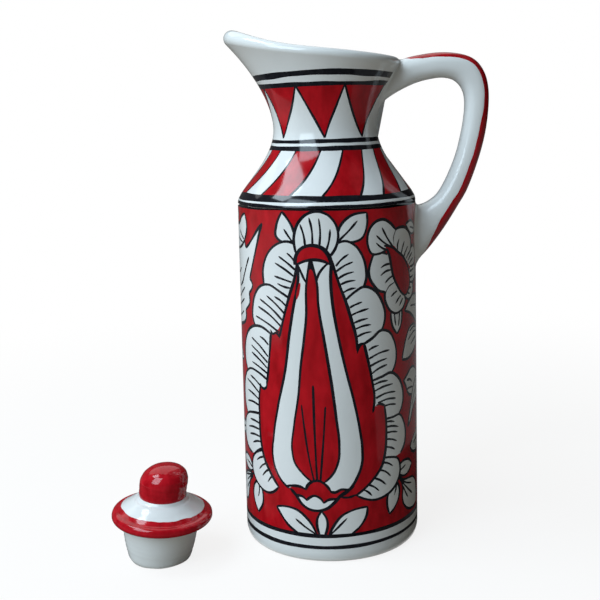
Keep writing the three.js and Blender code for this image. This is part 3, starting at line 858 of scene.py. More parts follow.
petal([(-37.3, 53.4), (-42.2, 50.6), (-46, 47), (-47.5, 42), (-45.2, 36.6), (-40.5, 33), (-34, 31.5), (-29.5, 33.4),
       (-27.2, 35.8)], [(-32, 43)],
      [[(-37.6, 52.4), (-40, 51.4), (-42.4, 49.8)], [(-36.4, 49.4), (-39.5, 48.2), (-42.6, 46)],
       [(-34.6, 46.6), (-37.6, 44.8), (-40.5, 42)], [(-33, 43.8), (-35.6, 41.8), (-38, 39.2)],
       [(-30.8, 41), (-32.4, 39.2), (-34, 37)]])
petal([(1.2, 152.4), (4.4, 156), (8.2, 157), (12.6, 155), (16.1, 150.4), (18.1, 144), (18.2, 139), (16.7, 135)],
      [(8, 129.4)],
      [[(3.8, 145.6), (6.4, 148.6), (9.8, 150.9)], [(4, 143.2), (7.6, 145.6), (11.8, 147.2)],
       [(4.8, 139.8), (8, 141.6), (12.2, 142.6)], [(5.8, 137), (9, 138.2), (12.9, 138.6)],
       [(7, 133.2), (10, 134.6), (13.2, 135)]])
petal([(7.9, 129.5), (12, 132.9), (17, 135.3), (22.6, 133), (26.6, 127.4), (28.4, 121.5), (27.5, 116),
       (25.6, 112.6)], [(14.2, 107.8)],
      [[(9.9, 126), (12.6, 127.2), (16, 128.2)], [(10.3, 122.2), (14.6, 123.8), (19.4, 124.8)],
       [(11.4, 118.4), (15, 119.6), (18.9, 120.2)], [(12.4, 115.6), (16.2, 116.8), (20.4, 117)],
       [(13, 111.8), (16.6, 113.2), (20.6, 113.6)]])
petal([(16.6, 108.2), (21, 110.5), (26, 113.6), (30.6, 112.3), (34.1, 107.5), (35.7, 101), (34.8, 95.6),
       (32.4, 92)], [(20.7, 89.8)],
      [[(18.9, 104.8), (21.4, 106), (24.7, 106.5)], [(19.3, 100.8), (25, 102.8), (31, 103.3)],
       [(19.6, 97), (24, 98.6), (29.4, 99.5)], [(20.2, 93.2), (24.6, 95.4), (29.4, 96.4)]])
petal([(20.7, 89.9), (26, 91), (31.6, 92.1), (36.6, 89), (40, 83.5), (40.9, 78), (39.2, 72.6), (36.6, 69.9)],
      [(28, 69.6), (27.4, 76.4), (22.4, 77.2)],
      [[(21.5, 87.8), (25.4, 88.6), (29.8, 88.5)], [(22, 84.6), (27, 86), (33, 86.2)],
       [(22.6, 81), (28, 82.4), (34.8, 82)], [(23.6, 78.4), (29, 79.4), (35, 78.6)],
       [(27, 76.2), (31, 76.4), (35, 75.6)]])
petal([(28.1, 69.6), (33, 69.7), (37.6, 69.9), (41.4, 65), (42.8, 59), (41.5, 53.5), (38.2, 50)],
      [(33, 49.2), (26.9, 50.4)],
      [[(28.5, 68.2), (31, 67.9), (34, 67)], [(28.5, 65.6), (32.4, 65.2), (36.9, 63.8)],
       [(28.8, 62.6), (32, 62.4), (36, 61.4)], [(28.8, 59.4), (32, 58.6), (35.5, 56.9)],
       [(28, 55.6), (30.8, 54.8), (34, 53)]])
petal([(26.9, 50.4), (31.2, 49.7), (35.9, 48), (37.9, 43), (36.9, 38), (33, 33.4), (27.5, 30.9), (21, 30.2),
       (15.4, 31.9), (11.8, 34)], [(17, 37.6), (21.8, 42), (25.6, 46.6)],
      [[(25.8, 48.2), (28.6, 47.4), (32.6, 44.8)], [(23.6, 45), (27.4, 43.4), (31, 40)],
       [(20.8, 41.4), (24.4, 39.6), (28, 36.4)], [(17.8, 38.6), (20.8, 37), (23.8, 34.2)],
       [(15.4, 36.4), (17.6, 35), (19.8, 32.6)]])
print("outlines so far:", len(ornament))

# %% Draw the bud inside the wreath
# The red body first, then the white petal on it, and the red tongue in the middle.
fill(RED,
     [(-13.5, 147), (-14.8, 142), (-18.8, 130.5), (-21.4, 122), (-24.4, 110.8)],
     [(-24.4, 110.8), (-26.6, 113.2), (-29.4, 112.5)],
     [(-29.4, 112.5), (-30.6, 102), (-32.2, 91), (-33, 86.4)],
     [(-33, 86.4), (-35.3, 84.1), (-37.6, 85.8)],
     [(-37.6, 85.8), (-38.8, 80), (-39.1, 70), (-38.4, 57), (-36.2, 49), (-32, 42.4), (-27, 36.4), (-20.5, 36)],
     [(-20.5, 36), (-6, 35), (8.6, 36), (12, 34)],
     [(12, 34), (17, 37.6), (21.8, 42), (25.6, 46.6), (27.4, 52), (28.4, 60), (28.3, 70), (27.4, 76.4)],
     [(27.4, 76.4), (24.8, 78), (21, 74.6)],
     [(21, 74.6), (21.6, 81), (20.6, 90), (18.8, 99), (16.6, 108.2)],
     [(16.6, 108.2), (15.2, 108.4), (13.5, 104.4)],
     [(13.5, 104.4), (13.4, 110), (10.4, 121), (7.9, 129.5), (5.3, 136.8), (3.1, 144), (1.6, 149)],
     [(1.6, 149), (-6, 151), (-13.5, 147)])
stroke([(-14.4, 146.5), (-15.4, 141), (-18.8, 130.6), (-21.4, 122), (-24.6, 110.4)], 1.0, 0.7, 0.1)
stroke([(-24.2, 111.2), (-26.4, 113.2), (-28.2, 112.4), (-29.6, 114.4)], 0.9, 0.3, 0.3)
stroke([(-29.4, 113), (-30.6, 102), (-32.2, 91), (-33.2, 85.8)], 1.0, 0.5, 0.3)
stroke([(-32.6, 87.4), (-34.2, 84.6), (-35.8, 84.4), (-38, 86.4)], 0.9, 0.3, 0.3)
stroke([(-37.4, 86.4), (-38.8, 80), (-39.1, 70), (-38.4, 57), (-36.2, 49), (-32, 42.4), (-26.4, 35.6)],
       1.05, 0.4, 0.2)
stroke([(11.4, 33.8), (17, 37.6), (21.8, 42), (25.6, 46.6), (27.4, 52), (28.4, 60), (28.3, 70), (27.4, 77)], 1.05)
stroke([(28, 76.2), (25, 77.8), (22.6, 77.4)], 0.9, 0.5, 0.3)
stroke([(20.8, 74), (21.8, 81), (20.6, 90), (18.8, 99), (16.5, 109)], 1.05, 0.15, 0.5)
stroke([(16.8, 108.4), (15.2, 108.2), (13.2, 103.8)], 1.1, 0.6, 0.1)
stroke([(13.3, 104.6), (13, 110.5), (10.4, 121), (7.9, 129.5), (5.3, 136.8), (3.1, 144), (1.2, 150)], 1.05, 0.2, 0.6)
fill(WHITE,
     [(-14.3, 147), (-13.7, 141), (-14.3, 136), (-16.2, 127.3), (-18.5, 115.3), (-21.8, 94), (-25.8, 78.3),
      (-29.1, 62), (-30.1, 52), (-28.6, 45.4), (-25.4, 40.4), (-20.6, 37)],
     [(-20.6, 37), (-6, 36), (9, 38.2)],
     [(9, 38.2), (12.5, 43.5), (14.8, 50), (15, 57), (13.7, 68), (11.3, 80.6), (8.1, 94), (4.3, 112.4),
      (1.7, 130), (1.2, 140), (1.5, 147)],
     [(1.5, 147), (-2.6, 148.9), (-7, 149.4), (-11, 148.6), (-14.3, 147)])
fill(RED,
     [(-8, 149.4), (-9, 143), (-10, 136), (-10.3, 122), (-11.6, 111), (-13.4, 98.4), (-14.9, 84), (-17.6, 68),
      (-18.8, 57), (-17.4, 50), (-13.4, 45), (-9.2, 41.4)],
     [(-9.2, 41.4), (-6.4, 40.4), (-3.4, 41.2)],
     [(-3.4, 41.2), (0.6, 45.4), (3.3, 51.5), (3.9, 60), (2.7, 73.1), (1, 88), (-2.1, 109.7), (-4.7, 127.7),
      (-5.3, 138), (-6.6, 144), (-8, 149.4)])
fill(BLACK, [(-8.2, 149.6), (-8.6, 145.6), (-9.2, 141.6)], [(-9.2, 141.6), (-7.9, 144.4), (-6.2, 141.8)],
     [(-6.2, 141.8), (-7, 145.4), (-7.7, 149.6), (-8.2, 149.6)])
stroke([(-8, 149.5), (-9.2, 143), (-10.1, 136), (-10.4, 122), (-11.7, 111), (-13.5, 98.4), (-15, 84),
        (-17.7, 68), (-18.9, 57), (-17.5, 50), (-13.5, 45), (-8.8, 41)], 0.8, 0.6, 0.4)
stroke([(-7.8, 149.5), (-6.4, 144), (-5.1, 138), (-4.6, 127.7), (-2, 109.7), (1.1, 88), (2.8, 73.1), (4, 60),
        (3.4, 51.5), (0.7, 45.4), (-3.6, 41)], 0.95, 0.6, 0.4)
stroke([(-14.6, 147.6), (-13.8, 141), (-14.4, 136), (-16.3, 127.3), (-18.6, 115.3), (-21.9, 94), (-25.9, 78.3),
        (-29.2, 62), (-30.2, 52), (-28.7, 45.4), (-25.4, 40.2), (-19.8, 36)], 0.95, 0.6, 0.5)
stroke([(1.9, 148), (1.3, 140), (1.8, 130), (4.4, 112.4), (8.2, 94), (11.4, 80.6), (13.8, 68), (15.1, 57),
        (14.9, 50), (12.6, 43.4), (8.8, 37.6), (4.6, 34)], 1.05, 0.6, 0.15)
stroke([(-13, 138), (-13.9, 134), (-14.8, 130)], 0.9, 0.2, 0.2, RED)
stroke([(-14.4, 147.6), (-12.6, 143.2), (-10, 137.6)], 0.75, 0.5, 0.3)
stroke([(1, 147.6), (-2.2, 144.8), (-4.6, 141), (-5.3, 136.6)], 0.8, 0.5, 0.2)
stroke([(-7.8, 89.4), (-7.6, 72), (-7.2, 56), (-6.7, 41.6)], 0.8, 0.1, 0.8)
stroke([(-13.6, 79.6), (-12.3, 67), (-10.4, 53), (-8.1, 41.4)], 0.65, 0.1, 0.8)
stroke([(-2.2, 79.2), (-3.1, 66), (-4.1, 54), (-5.2, 41.2)], 0.7, 0.1, 0.8)
print("outlines so far:", len(ornament))

# %% Draw the bud's cap and cup
# The cap is a white petal above the bud's tip, with a red collar at its foot. The cup at the bud's foot
# is red, with a white edge below.
petal([(-14.8, 151.8), (-15.5, 159.4), (-13.2, 165.8), (-9, 169.7), (-4.8, 170.8), (0, 169.4), (3.9, 165),
       (5.1, 159.4), (3.6, 153.6), (0.6, 149.6)], [(-7, 155.2)],
      [[(-10.2, 155), (-10.9, 160.2), (-12.5, 165)], [(-6.8, 155.8), (-6.9, 162), (-8.2, 168)],
       [(-3.6, 155.2), (-3.1, 161.4), (-3.7, 167.6)], [(-0.6, 152.6), (0.9, 157.6), (1.4, 162.6)]])
fill(RED, [(-15.2, 145.9), (-14.6, 150), (-12.2, 153.4), (-7.2, 155), (-2.4, 153.6), (0.4, 150.2), (1.5, 146.2)],
     [(1.5, 146.2), (-2.6, 148.1), (-7, 148.6), (-11, 147.8), (-15.2, 145.9)])
stroke([(-15.2, 146.2), (-14.8, 150.2), (-12.4, 153.6), (-7.2, 155.3), (-2.2, 153.9), (0.6, 150.4), (1.8, 146.2)],
       1.3, 0.8, 0.8)
stroke([(-14.8, 146.1), (-11, 147.9), (-7, 148.7), (-2.6, 148.2), (1.4, 146.3)], 1.0, 0.5, 0.5)
fill(RED,
     [(-21.4, 36.4), (-18.4, 38.2), (-15, 38.2), (-12, 37.2)],
     [(-12, 37.2), (-10.6, 40), (-8.4, 41.5), (-5.9, 41.7), (-2.8, 39.8), (-0.6, 37)],
     [(-0.6, 37), (1.4, 36.3), (4.6, 37.5), (8.6, 37.2)],
     [(8.6, 37.2), (5.4, 35.6), (2, 33)],
     [(2, 33), (-0.8, 33), (-3.7, 30.8)], [(-3.7, 30.8), (-5.4, 33), (-8.2, 34.2)],
     [(-8.2, 34.2), (-10.2, 33.4), (-11.8, 31.9)], [(-11.8, 31.9), (-16, 34.6), (-21.4, 36.4)])
fill(WHITE, [(-17, 33.5), (-15, 30.4), (-11, 27.6), (-6.5, 27), (-2.4, 28.2), (0.8, 30.8), (2.8, 33.4)],
     [(2.8, 33.4), (-0.8, 32.9), (-3.7, 30.8)], [(-3.7, 30.8), (-5.4, 33), (-8.2, 34.2)],
     [(-8.2, 34.2), (-10.2, 33.4), (-11.8, 31.9)], [(-11.8, 31.9), (-13.8, 33.4), (-17, 33.5)])
stroke([(-22.6, 37.6), (-18.6, 38.4), (-15, 38.4), (-12, 37)], 1.0, 0.2, 0.5)
stroke([(-12.4, 37), (-10.8, 40.2), (-8.4, 41.8), (-5.9, 42), (-2.6, 40), (-0.4, 36.8)], 1.0, 0.5, 0.5)
stroke([(-0.7, 36.8), (1.4, 36.2), (4.6, 37.6), (8.8, 37.4), (11, 38.8)], 1.0, 0.5, 0.2)
stroke([(-20.4, 36.8), (-17, 33.4), (-15, 30.3), (-11, 27.4), (-6.5, 26.8), (-2.4, 28), (1, 30.8), (4.4, 34.6),
        (8.8, 37.4)], 1.1, 0.3, 0.3)
stroke([(-17.6, 33.8), (-14, 33.5), (-11.8, 31.7)], 0.95, 0.4, 0.5)
stroke([(-12, 31.7), (-10.4, 33.4), (-8.2, 34.4), (-5.4, 33.2), (-3.7, 30.7)], 0.95, 0.5, 0.5)
stroke([(-3.8, 30.7), (-1.4, 32.6), (1, 32.9), (3.6, 33.2)], 0.95, 0.5, 0.3)
stroke([(4.4, 33.8), (8.4, 33.4), (11.8, 34.5)], 0.9, 0.3, 0.3)
print("outlines so far:", len(ornament))

# %% Paint both sides of the barrel
# The same group is painted twice, on the front and on the back, as the two sides of such a jug are.
front = ornament[grounds:]
del ornament[grounds:]
for colour, points in front:
    for moved in (points, points - ONCE_ROUND / 2):
        # What crosses one edge of the drawing comes in again at the other.
        if moved[:, 0].max() > SEAM:
            ornament.append((colour, moved - ONCE_ROUND))
        if moved[:, 0].min() < SEAM - ROUND_IT:
            ornament.append((colour, moved + ONCE_ROUND))
        ornament.append((colour, moved))
print("outlines on the barrel:", len(ornament) - grounds)

# %% [markdown]
# ## The bands on shoulder and neck
# Slanted red stripes run round the real jug's shoulder, and red points hang round its neck. The photo
# shows less than half of each band. Those that it hides are spaced evenly here, with a little chance, as
# a hand would place them. Each is painted twice, a whole turn apart, so that none is cut at the seam.

# %% Paint the shoulder's stripes and the neck's points
STRIPE_LOW, STRIPE_HIGH = 176.3, 197.8
POINTS_LOW, POINTS_HIGH = 203.2, 226.8
# Where each stripe's edge starts above and ends below
STRIPE_EDGES = [(-38.2, -54.8), (-22.8, -37.4), (-3.3, -19.7), (13.3, -2.8), (29.2, 16.4), (42.4, 29.8), (56, 43.6)]
STRIPES, STRIPE_SLANT = 18, 15.2
POINT_TIPS, POINT_TOPS, MORE_POINTS = [-38.7, -0.4, 32.6, 84.0], [-20.5, 14.0, 52.0], 4
HANDLE_GAP = 22.0  # the white left before the point that the handle hides


def paint_twice(colour, shape):
    """Paints an outline of a band, and once more a whole turn away, where it may cross the seam."""
    ornament.extend([(colour, shape), (colour, shape - ONCE_ROUND)])


def paint_stripes():
    edges = list(STRIPE_EDGES)
    last, missing = edges[-1][0], STRIPES - len(edges)
    gap = (edges[0][0] + ROUND_IT - last) / (missing + 1)
    for k in range(1, missing + 1):
        top = last + gap * k + chance.uniform(-1.2, 1.2)
        edges.append((top, top - STRIPE_SLANT + chance.uniform(-1.3, 1.3)))
    drawn = [np.array([(top, STRIPE_HIGH), (top + (foot - top) * 0.26, STRIPE_HIGH - 7),
                       (top + (foot - top) * 0.62, STRIPE_HIGH - 15), (foot, STRIPE_LOW)]) for top, foot in edges]
    for left, right in zip(drawn[1::2], drawn[2::2] + [drawn[0] + ONCE_ROUND]):
        paint_twice(RED, outline(left, [left[-1], right[-1]], right[::-1], [right[0], left[0]]))
    for edge in drawn:
        paint_twice(BLACK, ribbon(edge, 0.86, 0.9, 0.6))


def paint_points():
    tips = list(POINT_TIPS)
    gap = (tips[0] + ROUND_IT - tips[-1]) / (MORE_POINTS + 1)
    tips += [tips[-1] + gap * k for k in range(1, MORE_POINTS + 1)]
    tops = [(a + b) / 2 + chance.uniform(-1, 1) for a, b in zip(tips, tips[1:] + [tips[0] + ROUND_IT])]
    tops[:3] = POINT_TOPS
    for k, tip in enumerate(tips):
        left, right = (tops[k - 1] if k else tops[-1] - ROUND_IT) + 0.2, tops[k] - 0.2
        left += HANDLE_GAP if k == len(POINT_TIPS) - 1 else 0.0
        bow = chance.uniform(0.4, 1.6)
        left_side = np.array([(left, POINTS_HIGH), (left + (tip - left) * 0.36 - bow * 0.4, 217.5),
                              (left + (tip - left) * 0.74 - bow, 209.4), (tip, POINTS_LOW)])
        right_side = np.array([(tip, POINTS_LOW), (tip + (right - tip) * 0.26, 209.4),
                               (tip + (right - tip) * 0.66 + bow * 0.3, 218), (right, POINTS_HIGH)])
        paint_twice(RED, outline(left_side, right_side, [right_side[-1], left_side[0]]))
        paint_twice(BLACK, ribbon(left_side, 1.1, 0.8, 0.9))
        paint_twice(BLACK, ribbon(right_side, 1.1, 0.9, 0.8))


paint_stripes()
paint_points()
print("outlines with the two bands:", len(ornament))

# %% Draw the ring lines
RING_LINES = [(172, 2.7), (175.9, 2.8), (198.3, 2.1), (201.6, 1.9), (227.5, 2.2)]
for height, width in RING_LINES:
    ring_line(height, width)
# The foot's two lines rise a little towards the right, where the brush drifted.
ring_line(lambda x: 13.95 + 0.4 * np.sin((x - 10) / DRAWING_RADIUS), 2.1)
ring_line(lambda x: 8.25 + 0.5 * np.sin((x - 5) / DRAWING_RADIUS), 1.9)
ring_line(lambda x: 231.8 + 0.7 * np.cos((x + 6) / DRAWING_RADIUS * 2), 2.5, 0.3)
print("outlines in all:", len(ornament))

# %% [markdown]
# ## The jug as one closed skin
# Paint under a glaze has no thickness, so every outline is cut into the wall's own mesh. The drawing is
# made of flat triangles first, with each outline's edge kept as an edge, and every triangle takes the
# colour of the last outline that covers it. The flat drawing is then laid on the wall. The rim, the inside
# and the foot are rings of points that carry on from its edges, so that the skin is closed.

# %% Cut the drawing into triangles
COLUMNS = 240
BARREL_ROWS, SHOULDER_ROWS, NECK_ROWS = 40, 18, 22
COLUMN_X = SEAM - ROUND_IT + np.arange(COLUMNS + 1) / COLUMNS * ROUND_IT
COLUMN_TOP = top_height(COLUMN_X)
CLEARANCE = 0.42  # mm; an even point this near to an outline is left out, because it would make slivers
SLIVER = 1e-9  # a triangle that is smaller than this is left out


def flat_finder(points):
    """Finds the nearest of some points of the drawing."""
    finder = kdtree.KDTree(len(points))
    for i, (a, b) in enumerate(points):
        finder.insert((a, b, 0), i)
    finder.balance()
    return finder


def even_rows():
    """Rows of even points over the drawing, whose first and last rows are the skin's edges."""
    heights = [*np.linspace(BASE_EDGE, BARREL_TOP, BARREL_ROWS)[:-1],
               *np.linspace(BARREL_TOP, WAIST_HEIGHT, SHOULDER_ROWS)]
    rows = [np.full_like(COLUMN_X, z) for z in heights]
    rows += [WAIST_HEIGHT + (COLUMN_TOP - WAIST_HEIGHT) * share for share in np.linspace(0, 1, NECK_ROWS)[1:]]
    return [np.stack([COLUMN_X, row], -1) for row in rows]


def cut_drawing():
    points, edges = [], []
    for _, shape in ornament:
        first, count = len(points), len(shape)
        points.extend(map(tuple, shape))
        edges.extend((first + i, first + (i + 1) % count) for i in range(count))
    finder, rows = flat_finder(points), even_rows()
    foot, head = [], []
    border = {0: foot, len(rows) - 1: head}
    for r, row in enumerate(rows):
        for c, (a, b) in enumerate(row):
            if r in border:
                border[r].append(len(points))
            if r in border or finder.find((a, b, 0))[2] > CLEARANCE and 0 < c < COLUMNS:
                points.append((a, b))
    edges += [*zip(foot, foot[1:]), *zip(head, head[1:]), (foot[0], head[0]), (foot[-1], head[-1])]
    flat, _, faces, _, _, _ = delaunay_2d_cdt([Vector(p) for p in points], edges, [], 0, 1e-5)
    flat = np.array([(p.x, p.y) for p in flat])
    faces = np.array([f for f in faces if len(f) == 3])
    middle = flat[faces].mean(axis=1)
    size = np.abs(np.cross(flat[faces[:, 1]] - flat[faces[:, 0]], flat[faces[:, 2]] - flat[faces[:, 0]]))
    x, z = middle.T
    inside = (x > SEAM - ROUND_IT) & (x < SEAM) & (z > BASE_EDGE) & (z < np.interp(x, COLUMN_X, COLUMN_TOP))
    inside &= size > SLIVER
    return flat, faces[inside], middle[inside]


flat, flat_faces, flat_middle = cut_drawing()
print("triangles in the drawing:", len(flat_faces))

# %% Colour the triangles
def covered(shape, points):
    """Which points lie inside an outline, also where a stroke crosses itself."""
    turns = np.zeros(len(points), int)
    for (ax, ay), (bx, by) in zip(shape, np.roll(shape, -1, axis=0)):
        side = (bx - ax) * (points[:, 1] - ay) - (points[:, 0] - ax) * (by - ay)
        turns += (ay <= points[:, 1]) & (by > points[:, 1]) & (side > 0)
        turns -= (ay > points[:, 1]) & (by <= points[:, 1]) & (side < 0)
    return turns != 0


def colour_triangles(middle):
    colours = np.zeros(len(middle), int)
    order = np.argsort(middle[:, 0])
    sorted_x = middle[order, 0]
    for colour, shape in ornament:
        low, high = shape.min(axis=0), shape.max(axis=0)
        some = order[np.searchsorted(sorted_x, low[0]):np.searchsorted(sorted_x, high[0])]
        some = some[(middle[some, 1] > low[1]) & (middle[some, 1] < high[1])]
        colours[some[covered(shape, middle[some])]] = colour
    return colours


face_colours = colour_triangles(flat_middle)
print("white, red and black triangles:", np.bincount(face_colours).tolist())

# %% Make the rim, the inside and the foot
RIM_STEPS, INNER_ROWS, INNER_CROWDING, FLOOR_STEPS, FOOT_STEPS = 14, 46, 1.25, 7, 8
RIM_FADE = 3.5  # in rows; how soon the rim's thickness falls to the wall's
FLOOR_SHARES, FOOT_RINGS = (0.8, 0.6, 0.4, 0.2), (41.6, 39.0, 32.0, 24.0, 16.0, 8.0)


def closing_meridian(angle):
    """(radius, height) from the wall's top edge over the rolled rim, down the inside and to the axis."""
    height, meridian = wall_edge(angle)[1], outer_meridian(angle)
    z = height - (height - (FLOOR_THICKNESS + FLOOR_ROUND)) * np.linspace(0, 1, INNER_ROWS) ** INNER_CROWDING
    outer = np.stack([np.interp(z, meridian[:, 1], meridian[:, 0]), z], -1)
    slope = unit(np.gradient(outer, axis=0))
    thickness = WALL + (2 * rim_half(angle) - WALL) * np.exp(-np.arange(INNER_ROWS) / RIM_FADE)[:, None]
    inner = outer + np.stack([slope[:, 1], -slope[:, 0]], -1) * thickness
    reach = inner[-1, 0]
    end = (reach - FLOOR_ROUND, FLOOR_THICKNESS)
    round_off = bend(inner[-1], (reach, FLOOR_THICKNESS), end, FLOOR_STEPS)
    floor_rings = [(end[0] * share, FLOOR_THICKNESS) for share in FLOOR_SHARES]
    return np.vstack([rolled_rim(angle, RIM_STEPS), inner[1:], round_off, floor_rings])


def foot_meridian():
    """From the wall's lowest row round the foot's edge and under it, nearly to the axis."""
    edge = bend((BARREL_LOW, BASE_EDGE), (BARREL_LOW, 0.0), (BASE_RADIUS, 0.0), FOOT_STEPS)
    return np.vstack([edge, [(radius, 0.0) for radius in FOOT_RINGS]])


print("rings over the rim and inside, and under the foot:", len(closing_meridian(0.0)), len(foot_meridian()))

# %% Join rings of points
def ring_points(meridians):
    """Meridians for each column, as rows of points in space."""
    angle = wall_angle(COLUMN_X[:-1])[:, None]
    radius, height = meridians[..., 0], meridians[..., 1]
    return np.stack([radius * np.cos(angle), radius * np.sin(angle), height], -1).transpose(1, 0, 2)


def ring_normals(before, rows, outward):
    """Normals of rows of rings, from their neighbours along and across, as one list."""
    grid = np.concatenate([before[None], rows])
    across = (np.roll(grid, -1, axis=1) - np.roll(grid, 1, axis=1)) / 2
    return unit(np.cross(across, np.gradient(grid, axis=0)) * outward)[1:].reshape(-1, 3)


def band_faces(rings, flip=False):
    """Four-sided faces between each closed ring of point numbers and the next."""
    quads = [(low[c - 1], low[c], high[c], high[c - 1])
             for low, high in zip(rings, rings[1:]) for c in range(len(low))]
    return [quad[::-1] for quad in quads] if flip else quads


def fan_faces(ring, point, flip=False):
    """Triangles from a closed ring of point numbers to one point."""
    return [(ring[c], ring[c - 1], point) if flip else (ring[c - 1], ring[c], point) for c in range(len(ring))]


print("faces between two rings:", len(band_faces([range(COLUMNS), range(COLUMNS, 2 * COLUMNS)])))

# %% Join the drawing and the rings into the jug's skin
SAME_POINT = 0.001  # mm; corners where several strokes meet leave points this close
AT_EDGE = 1e-4
GLAZED_RINGS = 7  # the foot is glazed round its edge, and bare clay under it


def build_jug():
    place, normal = on_wall(flat[:, 0], flat[:, 1])
    finder = flat_finder(flat)
    head = [finder.find((a, b, 0))[1] for a, b in zip(COLUMN_X[:-1], COLUMN_TOP)]
    foot = [finder.find((a, BASE_EDGE, 0))[1] for a in COLUMN_X[:-1]]
    closing = ring_points(np.array([closing_meridian(a) for a in wall_angle(COLUMN_X[:-1])]))
    under = ring_points(np.array([foot_meridian()] * COLUMNS))
    places = np.vstack([place, closing.reshape(-1, 3), under.reshape(-1, 3), [(0, 0, FLOOR_THICKNESS), (0, 0, 0)]])
    normals = np.vstack([normal, ring_normals(place[head], closing, 1), ring_normals(place[foot], under, -1),
                         [(0, 0, 1), (0, 0, -1)]])
    rings = np.arange(len(place), len(places) - 2).reshape(-1, COLUMNS).tolist()
    inner, lower = [head] + rings[:len(closing)], [foot] + rings[len(closing):]
    parts = [(flat_faces.tolist(), face_colours),
             (band_faces(inner) + fan_faces(inner[-1], len(places) - 2), WHITE),
             (band_faces(lower[:GLAZED_RINGS + 1], True), WHITE),
             (band_faces(lower[GLAZED_RINGS:], True) + fan_faces(lower[-1], len(places) - 1, True), CLAY)]
    faces = [face for some, _ in parts for face in some]
    return places, normals, faces, np.concatenate([np.broadcast_to(colour, len(some)) for some, colour in parts])


skin = build_jug()
print("points and faces before welding:", len(skin[0]), len(skin[2]))

# %% Weld the seam
def weld_seam(places, normals, faces, colours):
    """Joins points that lie on each other, and the drawing's two edges, which are one line on the jug."""
    target = np.arange(len(places))
    finder = flat_finder(flat)
    for i, (a, b) in enumerate(flat):
        target[i] = min(found[1] for found in finder.find_range((a, b, 0), SAME_POINT))
    target = target[target]
    used = np.isin(np.arange(len(flat)), flat_faces)
    left, right = (np.nonzero(used & (np.abs(flat[:, 0] - x) < AT_EDGE))[0] for x in (SEAM - ROUND_IT, SEAM))
    steps = np.abs(flat[right, 1][:, None] - flat[left, 1])
    target[right] = target[left[steps.argmin(axis=1)]]
    target = target[target]
    print("seam points:", len(left), len(right), "largest step, mm:", round(float(steps.min(axis=1).max()), 5))
    joined = [tuple(int(target[i]) for i in face) for face in faces]
    kept = [k for k, face in enumerate(joined) if len(set(face)) == len(face)]
    used = sorted({i for k in kept for i in joined[k]})
    number = {old: new for new, old in enumerate(used)}
    return places[used], normals[used], [tuple(number[i] for i in joined[k]) for k in kept], colours[kept]


skin = weld_seam(*skin)

# %% Make a piece and measure it
def smooth(mesh):
    mesh.polygons.foreach_set("use_smooth", np.ones(len(mesh.polygons), dtype=bool))


def make_piece(name, places, normals, faces, colours, finishes):
    mesh = bpy.data.meshes.new(name)
    mesh.from_pydata((places * MM).tolist(), [], faces)
    for material in finishes:
        mesh.materials.append(material)
    mesh.polygons.foreach_set("material_index", np.asarray(colours, dtype=np.int32))
    smooth(mesh)
    if normals is not None:
        mesh.normals_split_custom_set_from_vertices(normals.tolist())
    mesh.update()
    return add_object(name, mesh)


def report_piece(piece):
    """Prints a piece's size and whether its skin is closed and faces outwards."""
    shape = bmesh.new()
    shape.from_mesh(piece.data)
    open_edges = sum(len(edge.link_faces) != 2 for edge in shape.edges)
    volume = shape.calc_volume(signed=True) / MM ** 3 / 1000
    shape.free()
    triangles = sum(len(p.vertices) - 2 for p in piece.data.polygons)
    corners = np.array([v.co for v in piece.data.vertices]) / MM
    print(f"{piece.name}: {triangles} triangles, open edges {open_edges}, volume {volume:.1f} ml,",
          "from", corners.min(axis=0).round(2).tolist(), "to", corners.max(axis=0).round(2).tolist())


jug = make_piece("jug", *skin, JUG_FINISHES)
report_piece(jug)

# %% [markdown]
# ## The pulled handle
# A potter pulls a strap of clay, bends it, and lutes both ends to the jug. Its shape follows two lines,
# its outer and its inner edge seen from the side, so a Geometry Nodes tree can loft it: a grid of points
# is laid between the two lines, with a rounded section whose width grows at the root. The grid's ends run
# into the jug, and the next cells trim them at the wall and round them off with a small fillet of clay.

# %% Draw the strap's two edges
# (x, z) of the outer and the inner edge, in pairs from inside the neck to inside the barrel
STRAP_PAIRS = [
    ((30.0, 235.4), (22.0, 212.0)), ((38.1, 239.0), (30.2, 220.4)), ((46.3, 240.8), (42.6, 227.0)),
    ((55.9, 241.7), (53.6, 229.6)), ((65.4, 240.8), (60.2, 229.3)), ((72.4, 237.9), (64.2, 227.1)),
    ((77.0, 232.0), (66.8, 223.3)), ((79.1, 224.0), (67.8, 218.6)), ((79.1, 213.5), (67.6, 212.3)),
    ((77.5, 201.6), (66.3, 203.7)), ((74.3, 189.5), (63.6, 192.7)), ((69.5, 176.4), (59.3, 182.0)),
    ((64.6, 167.7), (54.9, 174.3)), ((58.2, 157.4), (50.3, 170.5)), ((51.5, 148.3), (46.4, 168.9)),
    ((45.4, 141.6), (43.0, 168.4)), ((39.0, 135.6), (38.0, 168.2))]
STRAP_WIDTH, STRAP_STEPS, STRAP_SIDES = 15.0, 220, 56


def guide_curve(name, points):
    """A line of points as a mesh object, for a tree to read by index."""
    mesh = bpy.data.meshes.new(name)
    mesh.from_pydata([(x * MM, 0.0, z * MM) for x, z in points], [(i, i + 1) for i in range(len(points) - 1)], [])
    return add_object(name, mesh)


def even_steps(points, spread, count):
    """A smooth line through the points, at the shares of its pairs that spread gives."""
    slopes = np.gradient(points, axis=0)
    at = np.interp(np.linspace(0, 1, count), spread, np.arange(len(points)))
    i = np.clip(at.astype(int), 0, len(points) - 2)
    return hermite(points[i], points[i + 1], slopes[i], slopes[i + 1], (at - i)[:, None])


